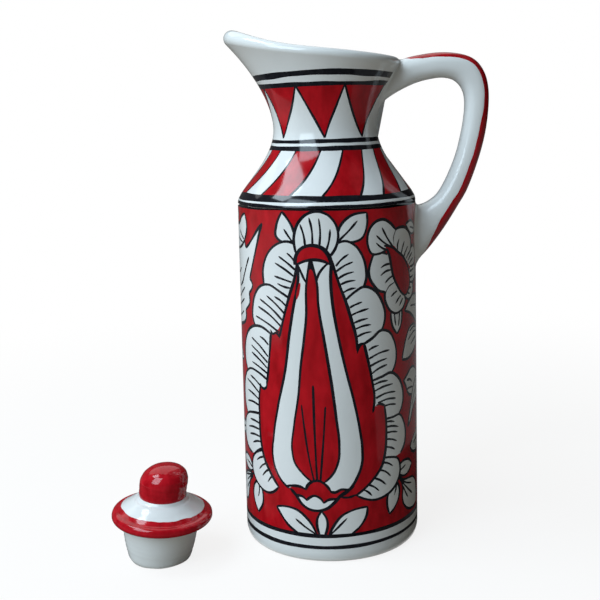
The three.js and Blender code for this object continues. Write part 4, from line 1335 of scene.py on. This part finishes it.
outer_points, inner_points = (np.array(side, float) for side in zip(*STRAP_PAIRS))
middle_steps = np.linalg.norm(np.diff((outer_points + inner_points) / 2, axis=0), axis=1)
spread = np.concatenate([[0], np.cumsum(middle_steps)]) / middle_steps.sum()
outer_guide = guide_curve("strap outer edge", even_steps(outer_points, spread, STRAP_STEPS))
inner_guide = guide_curve("strap inner edge", even_steps(inner_points, spread, STRAP_STEPS))
print("strap length, mm:", round(float(middle_steps.sum()), 1))

# %% Helpers for the geometry trees
def row_and_column(tree, across):
    """The row and the column of each point of a grid, from its number."""
    index = output(tree, "GeometryNodeInputIndex")
    return reckon("FLOOR", index / across), index % across


def guide_geometry(tree, guide):
    return output(tree, "GeometryNodeObjectInfo", {"Object": guide}, "Geometry")


def guide_point(tree, guide, index):
    """The place of one point of a guide."""
    place = output(tree, "GeometryNodeInputPosition")
    return output(tree, "GeometryNodeSampleIndex", {"Geometry": guide, "Value": place, "Index": index},
                  data_type="FLOAT_VECTOR", domain="POINT")


def soft_noise(tree, given, place, scale, detail):
    """A noise round zero that changes with the seed, times the unevenness."""
    noise = output(tree, "ShaderNodeTexNoise", {
        "Vector": place, "W": given("Seed"), "Scale": scale, "Detail": detail}, "Fac", noise_dimensions="4D")
    return (noise - 0.5) * given("Unevenness")


def put_out(tree, result, geometry, material):
    """The end of each tree: instances made real, with the material that was given."""
    real = output(tree, "GeometryNodeRealizeInstances", {0: geometry})
    put(tree, result[0], output(tree, "GeometryNodeSetMaterial", {"Geometry": real, "Material": material}))


print("ready: row_and_column, guide_geometry, guide_point, soft_noise and put_out")

# %% Build the tree that lofts a strap between two edges
def strap_tree():
    tree, given, result = node_group(
        "strap between two edges", "GeometryNodeTree",
        [("Geometry", "Geometry", None), ("Outer Edge", "Object", None), ("Inner Edge", "Object", None),
         ("Steps", "Int", 100), ("Sides", "Int", 32), ("Width", "Float", 0.015), ("Top Widening", "Float", 0.001),
         ("Root Widening", "Float", 0.004), ("Root Length", "Float", 0.12), ("Squareness", "Float", 0.75),
         ("Unevenness", "Float", 0.0002), ("Seed", "Int", 1), ("Material", "Material", None)],
        [("Geometry", "Geometry")])
    grid = output(tree, "GeometryNodeMeshGrid", {"Vertices X": given("Steps"), "Vertices Y": given("Sides")}, "Mesh")
    step, side = row_and_column(tree, given("Sides"))
    share, turn = step / (given("Steps") - 1.0), side / given("Sides") * (2 * math.pi)
    outer, inner = (guide_point(tree, guide_geometry(tree, given(label)), step)
                    for label in ("Outer Edge", "Inner Edge"))
    middle = scaled(tree, vector(tree, "ADD", outer, inner), 0.5)
    half_way = scaled(tree, vector(tree, "SUBTRACT", outer, inner), 0.5)

    def rounded(value):
        return reckon("SIGN", value) * reckon("ABSOLUTE", value) ** given("Squareness")

    def near_end(distance, amount):
        return reckon("EXPONENT", (distance / given("Root Length")) ** 2.0 * -1.0) * amount

    wide = given("Width") + near_end(share, given("Top Widening")) + near_end(1.0 - share, given("Root Widening"))
    wide = wide + soft_noise(tree, given, middle, 45.0, 0.0)
    beside = output(tree, "ShaderNodeCombineXYZ", {"Y": rounded(reckon("SINE", turn)) * (wide * 0.5)})
    above = scaled(tree, half_way, rounded(reckon("COSINE", turn)))
    place = vector(tree, "ADD", vector(tree, "ADD", middle, above), beside)
    moved = output(tree, "GeometryNodeSetPosition", {"Geometry": grid, "Position": place})
    put_out(tree, result, moved, given("Material"))
    return tree


strap_between = strap_tree()
print("tree:", strap_between.name)

# %% Run the tree
def run_tree(name, tree, **values):
    """Runs a Geometry Nodes tree on an empty mesh and returns its result as a plain mesh."""
    holder = add_object(name, bpy.data.meshes.new(name + " start"))
    modifier = holder.modifiers.new(name, "NODES")
    modifier.node_group = tree
    sockets = {item.name: item.identifier for item in tree.interface.items_tree
               if item.item_type == "SOCKET" and item.in_out == "INPUT"}
    for label, value in values.items():
        modifier[sockets[label.replace("_", " ")]] = value
    bpy.context.view_layer.update()
    evaluated = holder.evaluated_get(bpy.context.evaluated_depsgraph_get())
    mesh = bpy.data.meshes.new_from_object(evaluated)
    holder.modifiers.clear()
    bpy.data.objects.remove(holder)
    return mesh


strap = run_tree("strap", strap_between, Outer_Edge=outer_guide, Inner_Edge=inner_guide, Steps=STRAP_STEPS,
                 Sides=STRAP_SIDES, Width=STRAP_WIDTH * MM, Top_Widening=1.2 * MM, Root_Widening=4.2 * MM,
                 Root_Length=0.1, Squareness=0.8, Unevenness=0.5 * MM, Seed=4, Material=white_glaze)
for guide in (outer_guide, inner_guide):
    bpy.data.objects.remove(guide)
strap_lines = np.array([v.co for v in strap.vertices]).reshape(STRAP_STEPS, STRAP_SIDES, 3) / MM
print("strap grid:", strap_lines.shape, "widest, mm:", round(float(np.ptp(strap_lines[..., 1])), 2))

# %% [markdown]
# ## Where the handle meets the jug
# On the real jug the strap's ends are pressed on the wall and smoothed with wet clay. So every line of the
# strap's grid is followed from its middle towards each end until it meets the wall. The last stretch
# before the wall is then turned outwards in a short curve that ends on the wall.

# %% Measure how deep a point lies in the wall
PROFILE_STEPS = 39


@functools.cache
def wall_profile(angle):
    """The wall's outer line and rim for one direction."""
    return np.vstack([outer_meridian(angle), rolled_rim(angle, PROFILE_STEPS)])


def depth_in_wall(points):
    """Signed distance to the jug's outside (above 0 is outside), and the nearest point there."""
    distances, nearest = np.zeros(len(points)), np.zeros((len(points), 3))
    for i, (x, y, z) in enumerate(points):
        angle = math.atan2(y, x)
        profile = wall_profile(round(angle, 2))
        here = np.array([math.hypot(x, y), z])
        start, step = profile[:-1], np.diff(profile, axis=0)
        t = np.clip(((here - start) * step).sum(1) / (step ** 2).sum(1), 0, 1)
        foot = start + step * t[:, None]
        gap = np.linalg.norm(here - foot, axis=1)
        k = int(np.argmin(gap))
        outward = step[k, 1] * (here[0] - foot[k, 0]) - step[k, 0] * (here[1] - foot[k, 1])
        distances[i] = math.copysign(gap[k], outward)
        nearest[i] = (foot[k, 0] * math.cos(angle), foot[k, 0] * math.sin(angle), foot[k, 1])
    return distances, nearest


end_depths, _ = depth_in_wall(strap_lines[[0, -1], 0])
print("the strap's two ends, mm outside the wall:", end_depths.round(1).tolist())

# %% Trim the strap at the wall and round its roots
TOP_FILLET, ROOT_FILLET, FILLET_STEPS = 3.0, 3.4, 7
UNDER_GLAZE = 0.05  # how far the fillet's end reaches into the wall, so that no gap shows


def first_meeting(line):
    """How far along a line, in steps, it meets the wall."""
    depths, _ = depth_in_wall(line)
    hit = int(np.argmax(depths <= 0))
    return hit - 1 + depths[hit - 1] / (depths[hit - 1] - depths[hit])


def along_line(line, at):
    i = np.clip(np.asarray(at).astype(int), 0, len(line) - 2)
    t = (np.asarray(at) - i)[..., None]
    return line[i] * (1 - t) + line[i + 1] * t


def along_lines(lines, at):
    """A point on each of the strap's lines, or a row of points where at has a column for each line."""
    return np.stack([along_line(lines[:, k], at[..., k]) for k in range(STRAP_SIDES)], axis=-2)


def pushed_in(points, distance):
    """Points moved level towards the jug's axis."""
    return points - unit(points * np.array([1, 1, 0])) * distance


def trim_strap(lines):
    """Returns the strap's rows from the neck to the barrel, with a fillet at both ends."""
    half = len(lines) // 2
    root_at = np.array([half + first_meeting(lines[half:, k]) for k in range(STRAP_SIDES)])
    top_at = np.array([half - first_meeting(lines[half::-1, k]) for k in range(STRAP_SIDES)])
    spacing = np.linalg.norm(lines[half] - lines[half + 1], axis=-1).mean()
    fillets = []
    for meet, way, size in ((top_at, 1, TOP_FILLET), (root_at, -1, ROOT_FILLET)):
        meeting = along_lines(lines, meet)
        start_at = meet + way * size / spacing
        _, end = depth_in_wall(meeting + unit(meeting - meeting.mean(axis=0)) * size)
        _, end = depth_in_wall(meeting + unit(end - meeting) * size)
        start, end = along_lines(lines, start_at), pushed_in(end, UNDER_GLAZE)
        fillets.append((bend(start, meeting, end, FILLET_STEPS), start_at))
    (top_rows, top_start), (root_rows, root_start) = fillets
    shares = np.linspace(0, 1, STRAP_STEPS)[:, None]
    body = along_lines(lines, top_start + (root_start - top_start) * shares)
    return np.concatenate([top_rows[::-1], body, root_rows])


strap_rows = trim_strap(strap_lines)
print("strap rows:", strap_rows.shape)

# %% Paint the stripe along the strap's back
# The stripe's edges follow two lines of the grid. They are shifted a little across it, as a hand would
# leave them, and the lines beside them shift less and less.
STRIPE_LINE = 11  # the stripe covers this many lines on each side of the strap's back
# The stripe's half-width, in lines, from the neck to the barrel
STRIPE_SHARES = (0.0, 0.015, 0.06, 0.12, 0.25, 0.4, 0.5, 0.6, 0.7, 0.8, 0.88, 0.93, 0.965, 1.0)
STRIPE_HALVES = (0.4, 0.4, 5.5, 8.0, 9.0, 10.2, 11.3, 12.2, 12.6, 12.4, 11.5, 8.5, 3.5, 0.4)
STRIPE_MARGIN = 5  # rows without a stripe at either end
CAP_DEPTH = 1.5  # how far behind its end, in the wall, the strap is closed


def shift_lines(rows):
    count, sides, _ = rows.shape
    share = np.linspace(0, 1, count)
    half_width = np.interp(share, STRIPE_SHARES, STRIPE_HALVES)
    moved = np.zeros_like(rows)
    for k in range(sides):
        signed = k if k <= sides // 2 else k - sides
        away, side = abs(signed), 1.0 if signed > 0 else -1.0
        inner = half_width * away / STRIPE_LINE
        outer = half_width + (away - STRIPE_LINE) * (sides / 2 - half_width) / (sides / 2 - STRIPE_LINE)
        wave = (0.35 * np.sin(share * 17 + side) + 0.16 * np.sin(share * 41 + 2.1 * side + 1)
                + 0.06 * np.sin(share * 83 + side * 3)) * np.exp(-((away - STRIPE_LINE) / 5.0) ** 2)
        at = (side * ((inner if away <= STRIPE_LINE else outer) + wave * (0 < away < sides / 2))) % sides
        low = np.floor(at).astype(int) % sides
        t = (at - np.floor(at))[:, None]
        moved[:, k] = rows[np.arange(count), low] * (1 - t) + rows[np.arange(count), (low + 1) % sides] * t
    return moved


def build_strap(rows):
    count, sides, _ = rows.shape
    places = np.vstack([rows.reshape(-1, 3), pushed_in(rows[[0, -1]].mean(axis=1), CAP_DEPTH)])
    rings = np.arange(count * sides).reshape(count, sides).tolist()
    faces = band_faces(rings, True)
    row, line = np.divmod(np.arange(len(faces)), sides)
    # A face lies between its line and the one before.
    striped = (line <= STRIPE_LINE) | (line > sides - STRIPE_LINE)
    colours = np.where(striped & (row >= STRIPE_MARGIN) & (row < count - STRIPE_MARGIN), RED, WHITE)
    faces += fan_faces(rings[0], count * sides) + fan_faces(rings[-1], count * sides + 1, True)
    return places, None, faces, np.append(colours, [WHITE] * (2 * sides))


handle = make_piece("handle_strap", *build_strap(shift_lines(strap_rows)), [white_glaze, red_paint])
report_piece(handle)

# %% [markdown]
# ## The stopper
# Plug and flange are one turned piece, with a red band round the flange. The knob on top is red and leans,
# since it was pressed on by hand. Both are turned forms: a profile swung round an axis. One Geometry Nodes
# tree makes both. It also leaves the fine rings of the thrower's fingers. The colours are masks in the
# material here, because their edges are simple rings round the axis.

# %% Build the tree for turned forms
NEAR_AXIS = 160.0  # 1/m; unevenness and rings fade over the last bit before the axis, so the poles stay closed
AT_ONE_PLACE = 0.000002  # m


def turned_tree():
    tree, given, result = node_group(
        "turned form", "GeometryNodeTree",
        [("Geometry", "Geometry", None), ("Profile", "Object", None), ("Segments", "Int", 96),
         ("Ring Depth", "Float", 0.0001), ("Ring Spacing", "Float", 0.0021), ("Unevenness", "Float", 0.0001),
         ("Seed", "Int", 1), ("Material", "Material", None)],
        [("Geometry", "Geometry")])
    guide = guide_geometry(tree, given("Profile"))
    count = output(tree, "GeometryNodeAttributeDomainSize", {0: guide}, "Point Count")
    columns = given("Segments") + 1.0
    grid = output(tree, "GeometryNodeMeshGrid", {"Vertices X": count, "Vertices Y": columns}, "Mesh")
    row, column = row_and_column(tree, columns)
    turn = column * (2 * math.pi) / given("Segments")
    radius, _, height = split(tree, guide_point(tree, guide, row))
    cosine, sine = reckon("COSINE", turn), reckon("SINE", turn)
    # Finger rings rise in a slow spiral, and the unevenness is one soft noise round the form.
    wave = height / given("Ring Spacing") + turn / (2 * math.pi)
    rings = reckon("SINE", wave * (2 * math.pi)) * given("Ring Depth")
    around = output(tree, "ShaderNodeCombineXYZ", {"X": cosine, "Y": sine, "Z": height * 60.0})
    soft = soft_noise(tree, given, around, 1.3, 1.0)
    final = radius + (rings + soft) * reckon("MINIMUM", radius * NEAR_AXIS, 1.0)
    place = output(tree, "ShaderNodeCombineXYZ", {"X": final * cosine, "Y": final * sine, "Z": height})
    moved = output(tree, "GeometryNodeSetPosition", {"Geometry": grid, "Position": place})
    merged = output(tree, "GeometryNodeMergeByDistance", {"Geometry": moved, "Distance": AT_ONE_PLACE})
    put_out(tree, result, merged, given("Material"))
    return tree


turned = turned_tree()
print("tree:", turned.name)

# %% Draw the profiles of the plug and the knob
PLUG_RADIUS, PLUG_HEIGHT, FOOT_RADIUS, FOOT_ROUND, FOOT_BELOW, PLUG_SHIFT = 18.9, 19.4, 15.4, 4.2, -1.6, 0.8
FLANGE_RADIUS, FLANGE_WIDEST, SHOULDER_RADIUS, SHOULDER_HEIGHT, SHIFT_FADE = 24.6, 22.4, 21.7, 25.3, 3.0
SEAT_RADIUS, SEAT_HEIGHT, SEAT_FILLET = 11.4, 32.4, 0.9
KNOB_RADIUS, KNOB_NECK, KNOB_HEIGHT, KNOB_WIDEST, KNOB_LEAN = 11.7, 11.5, 15.8, 0.42, 2.4
STOPPER_PLACE, LEAN = (-85.21, -34.43), Euler((math.radians(1.4), math.radians(4.0), 0.0))


def profile(start, *moves):
    """(radius, height) from a start. Each move gives its steps and its end, and before that its corner
    where it is a bend."""
    points = [start]
    for steps, *corner, end in moves:
        corner = corner[0] if corner else (np.array(points[-1]) + end) / 2
        points.extend(bend(points[-1], corner, end, steps))
    return points


plug_profile = profile(
    (0.0, FOOT_BELOW),
    (5, (FOOT_RADIUS - FOOT_ROUND, FOOT_BELOW)),
    (10, (FOOT_RADIUS, FOOT_BELOW), (FOOT_RADIUS + 0.7, FOOT_ROUND)),
    (16, (PLUG_RADIUS - 1.2, PLUG_HEIGHT * 0.5), (PLUG_RADIUS - 0.3, PLUG_HEIGHT - 0.7)),
    (6, (PLUG_RADIUS, PLUG_HEIGHT), (PLUG_RADIUS + 0.9, PLUG_HEIGHT + 0.15)),
    (14, (FLANGE_RADIUS - 0.2, PLUG_HEIGHT + 0.6), (FLANGE_RADIUS, FLANGE_WIDEST)),
    (12, (FLANGE_RADIUS, FLANGE_WIDEST + 2.8), (SHOULDER_RADIUS, SHOULDER_HEIGHT)),
    (14, (SEAT_RADIUS + SEAT_FILLET + 1.4, SEAT_HEIGHT - SEAT_FILLET - 0.8)),
    (10, (SEAT_RADIUS + 1.0, SEAT_HEIGHT - 1.6), (SEAT_RADIUS, SEAT_HEIGHT)),
    (5, (0.0, SEAT_HEIGHT)))
knob_profile = profile(
    (0.0, 0.0),
    (5, (SEAT_RADIUS, 0.0)),
    (10, (KNOB_NECK, KNOB_HEIGHT * 0.06), (KNOB_NECK, KNOB_HEIGHT * 0.16)),
    (14, (KNOB_RADIUS - 0.2, KNOB_HEIGHT * 0.24), (KNOB_RADIUS, KNOB_HEIGHT * KNOB_WIDEST)))
knob_profile.extend(bezier([(KNOB_RADIUS, KNOB_HEIGHT * KNOB_WIDEST), (KNOB_RADIUS, KNOB_HEIGHT * 0.74),
                            (KNOB_RADIUS * 0.72, KNOB_HEIGHT), (0.0, KNOB_HEIGHT)], 40)[1:])


print("profile points:", len(plug_profile), len(knob_profile))

# %% Turn a profile into a piece
def shift_plug(places):
    """The plug stands a little off the flange's centre."""
    places[:, 0] -= PLUG_SHIFT * np.clip((FLANGE_WIDEST - places[:, 2]) / SHIFT_FADE, 0, 1)


def lean_knob(places):
    """The knob sits on the seat, and its crown leans."""
    places[:, 0] += KNOB_LEAN * (places[:, 2] / KNOB_HEIGHT) ** 2
    places[:, 2] += SEAT_HEIGHT


def turn_form(name, points, shift, **values):
    guide = guide_curve(name + " profile", points)
    mesh = run_tree(name, turned, Profile=guide, **values)
    bpy.data.objects.remove(guide)
    places = np.array([v.co for v in mesh.vertices]) / MM
    shift(places)
    places = places @ np.array(LEAN.to_matrix()).T
    places[:, :2] += STOPPER_PLACE
    places[:, 2] = np.maximum(places[:, 2], 0.0)
    mesh.vertices.foreach_set("co", (places * MM).ravel())
    smooth(mesh)
    shape = bmesh.new()
    shape.from_mesh(mesh)
    if shape.calc_volume(signed=True) < 0:
        bmesh.ops.reverse_faces(shape, faces=shape.faces)
    shape.to_mesh(mesh)
    shape.free()
    return add_object(name, mesh)


print("ready: turn_form")

# %% Make the group for a painted ring, and the stopper's materials
RING_SHIFT, RING_SQUEEZE = 1.8, 0.97  # the band was painted off the centre, wider in front
EDGE_SHARPNESS = 6.0  # 1/mm; an edge is as sharp as a brush leaves it


def painted_ring_group():
    tree, given, result = node_group(
        "painted ring", "ShaderNodeTree",
        [("Inner Radius", "Float", 10.0), ("Outer Radius", "Float", 20.0), ("Low", "Float", 0.0),
         ("High", "Float", 10.0), ("Wobble", "Float", 0.6)], [("Mask", "Float")])
    upright = output(tree, "ShaderNodeMapping", {
        "Vector": output(tree, "ShaderNodeTexCoord", name="Object"), "Rotation": tuple(LEAN),
        "Location": (STOPPER_PLACE[0] * MM, STOPPER_PLACE[1] * MM, 0.0), "Scale": (MM, MM, MM)},
        vector_type="TEXTURE")
    x, y, z = split(tree, upright)
    noise = output(tree, "ShaderNodeTexNoise", {"Vector": upright, "Scale": 0.16, "Detail": 2.0}, "Fac")
    wobble = (noise - 0.5) * (given("Wobble") * 2.0)
    off_centre = (y - RING_SHIFT) * RING_SQUEEZE
    radius = reckon("SQRT", x ** 2.0 + off_centre ** 2.0) + wobble

    def between(value, low, high):
        """1 between the two, with a soft edge."""
        return (reckon("MULTIPLY", value - given(low), EDGE_SHARPNESS, clamp=True)
                * reckon("MULTIPLY", given(high) - value, EDGE_SHARPNESS, clamp=True))

    put(tree, result["Mask"], between(radius, "Inner Radius", "Outer Radius") * between(z + wobble, "Low", "High"))
    return tree


painted_ring = painted_ring_group()
BAND_THIN, BAND_FULL = (0.52, 0.010, 0.020, 1), (0.33, 0.003, 0.008, 1)


def banded_material(name, **ring):
    """White glaze with a red band, whose place is given in the stopper's own upright measures."""
    material = glazed_material(name, WHITE_THIN, WHITE_FULL, 1.2, 20, 40)
    tree = material.node_tree
    colour = tree.nodes["Principled BSDF"].inputs["Base Color"]
    load = grouped(tree, brushed, "Load", Stroke_Width=3.0, Stroke_Length=9.0, Contrast=2.0)
    red = mixed_colour(tree, load, BAND_THIN, BAND_FULL)
    under, mask = colour.links[0].from_socket, grouped(tree, painted_ring, "Mask", **ring)
    put(tree, colour, mixed_colour(tree, mask, under, red))
    return material


flange_paint = banded_material(
    "stopper glaze with red band", Inner_Radius=20.2, Outer_Radius=60.0, Low=20.0, High=31.0)
knob_paint = banded_material(
    "knob glaze, red all over", Inner_Radius=-5.0, Outer_Radius=60.0, Low=10.0, High=90.0)
print("stopper materials:", flange_paint.name, "/", knob_paint.name)

# %% Turn the plug and the knob
plug = turn_form("stopper_body", plug_profile, shift_plug, Segments=144, Ring_Depth=0.05 * MM,
                 Ring_Spacing=2.6 * MM, Unevenness=0.5 * MM, Seed=3, Material=flange_paint)
knob = turn_form("stopper_grip", knob_profile, lean_knob, Segments=112, Ring_Depth=0.04 * MM,
                 Ring_Spacing=2.9 * MM, Unevenness=0.35 * MM, Seed=11, Material=knob_paint)
report_piece(plug)
report_piece(knob)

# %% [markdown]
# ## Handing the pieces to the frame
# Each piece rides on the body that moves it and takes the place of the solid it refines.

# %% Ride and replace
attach(jug, "jug")
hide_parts("jug_body")
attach(handle, "jug")
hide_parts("handle")
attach(plug, "stopper")
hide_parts("stopper_plug")
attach(knob, "stopper")
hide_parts("stopper_knob")
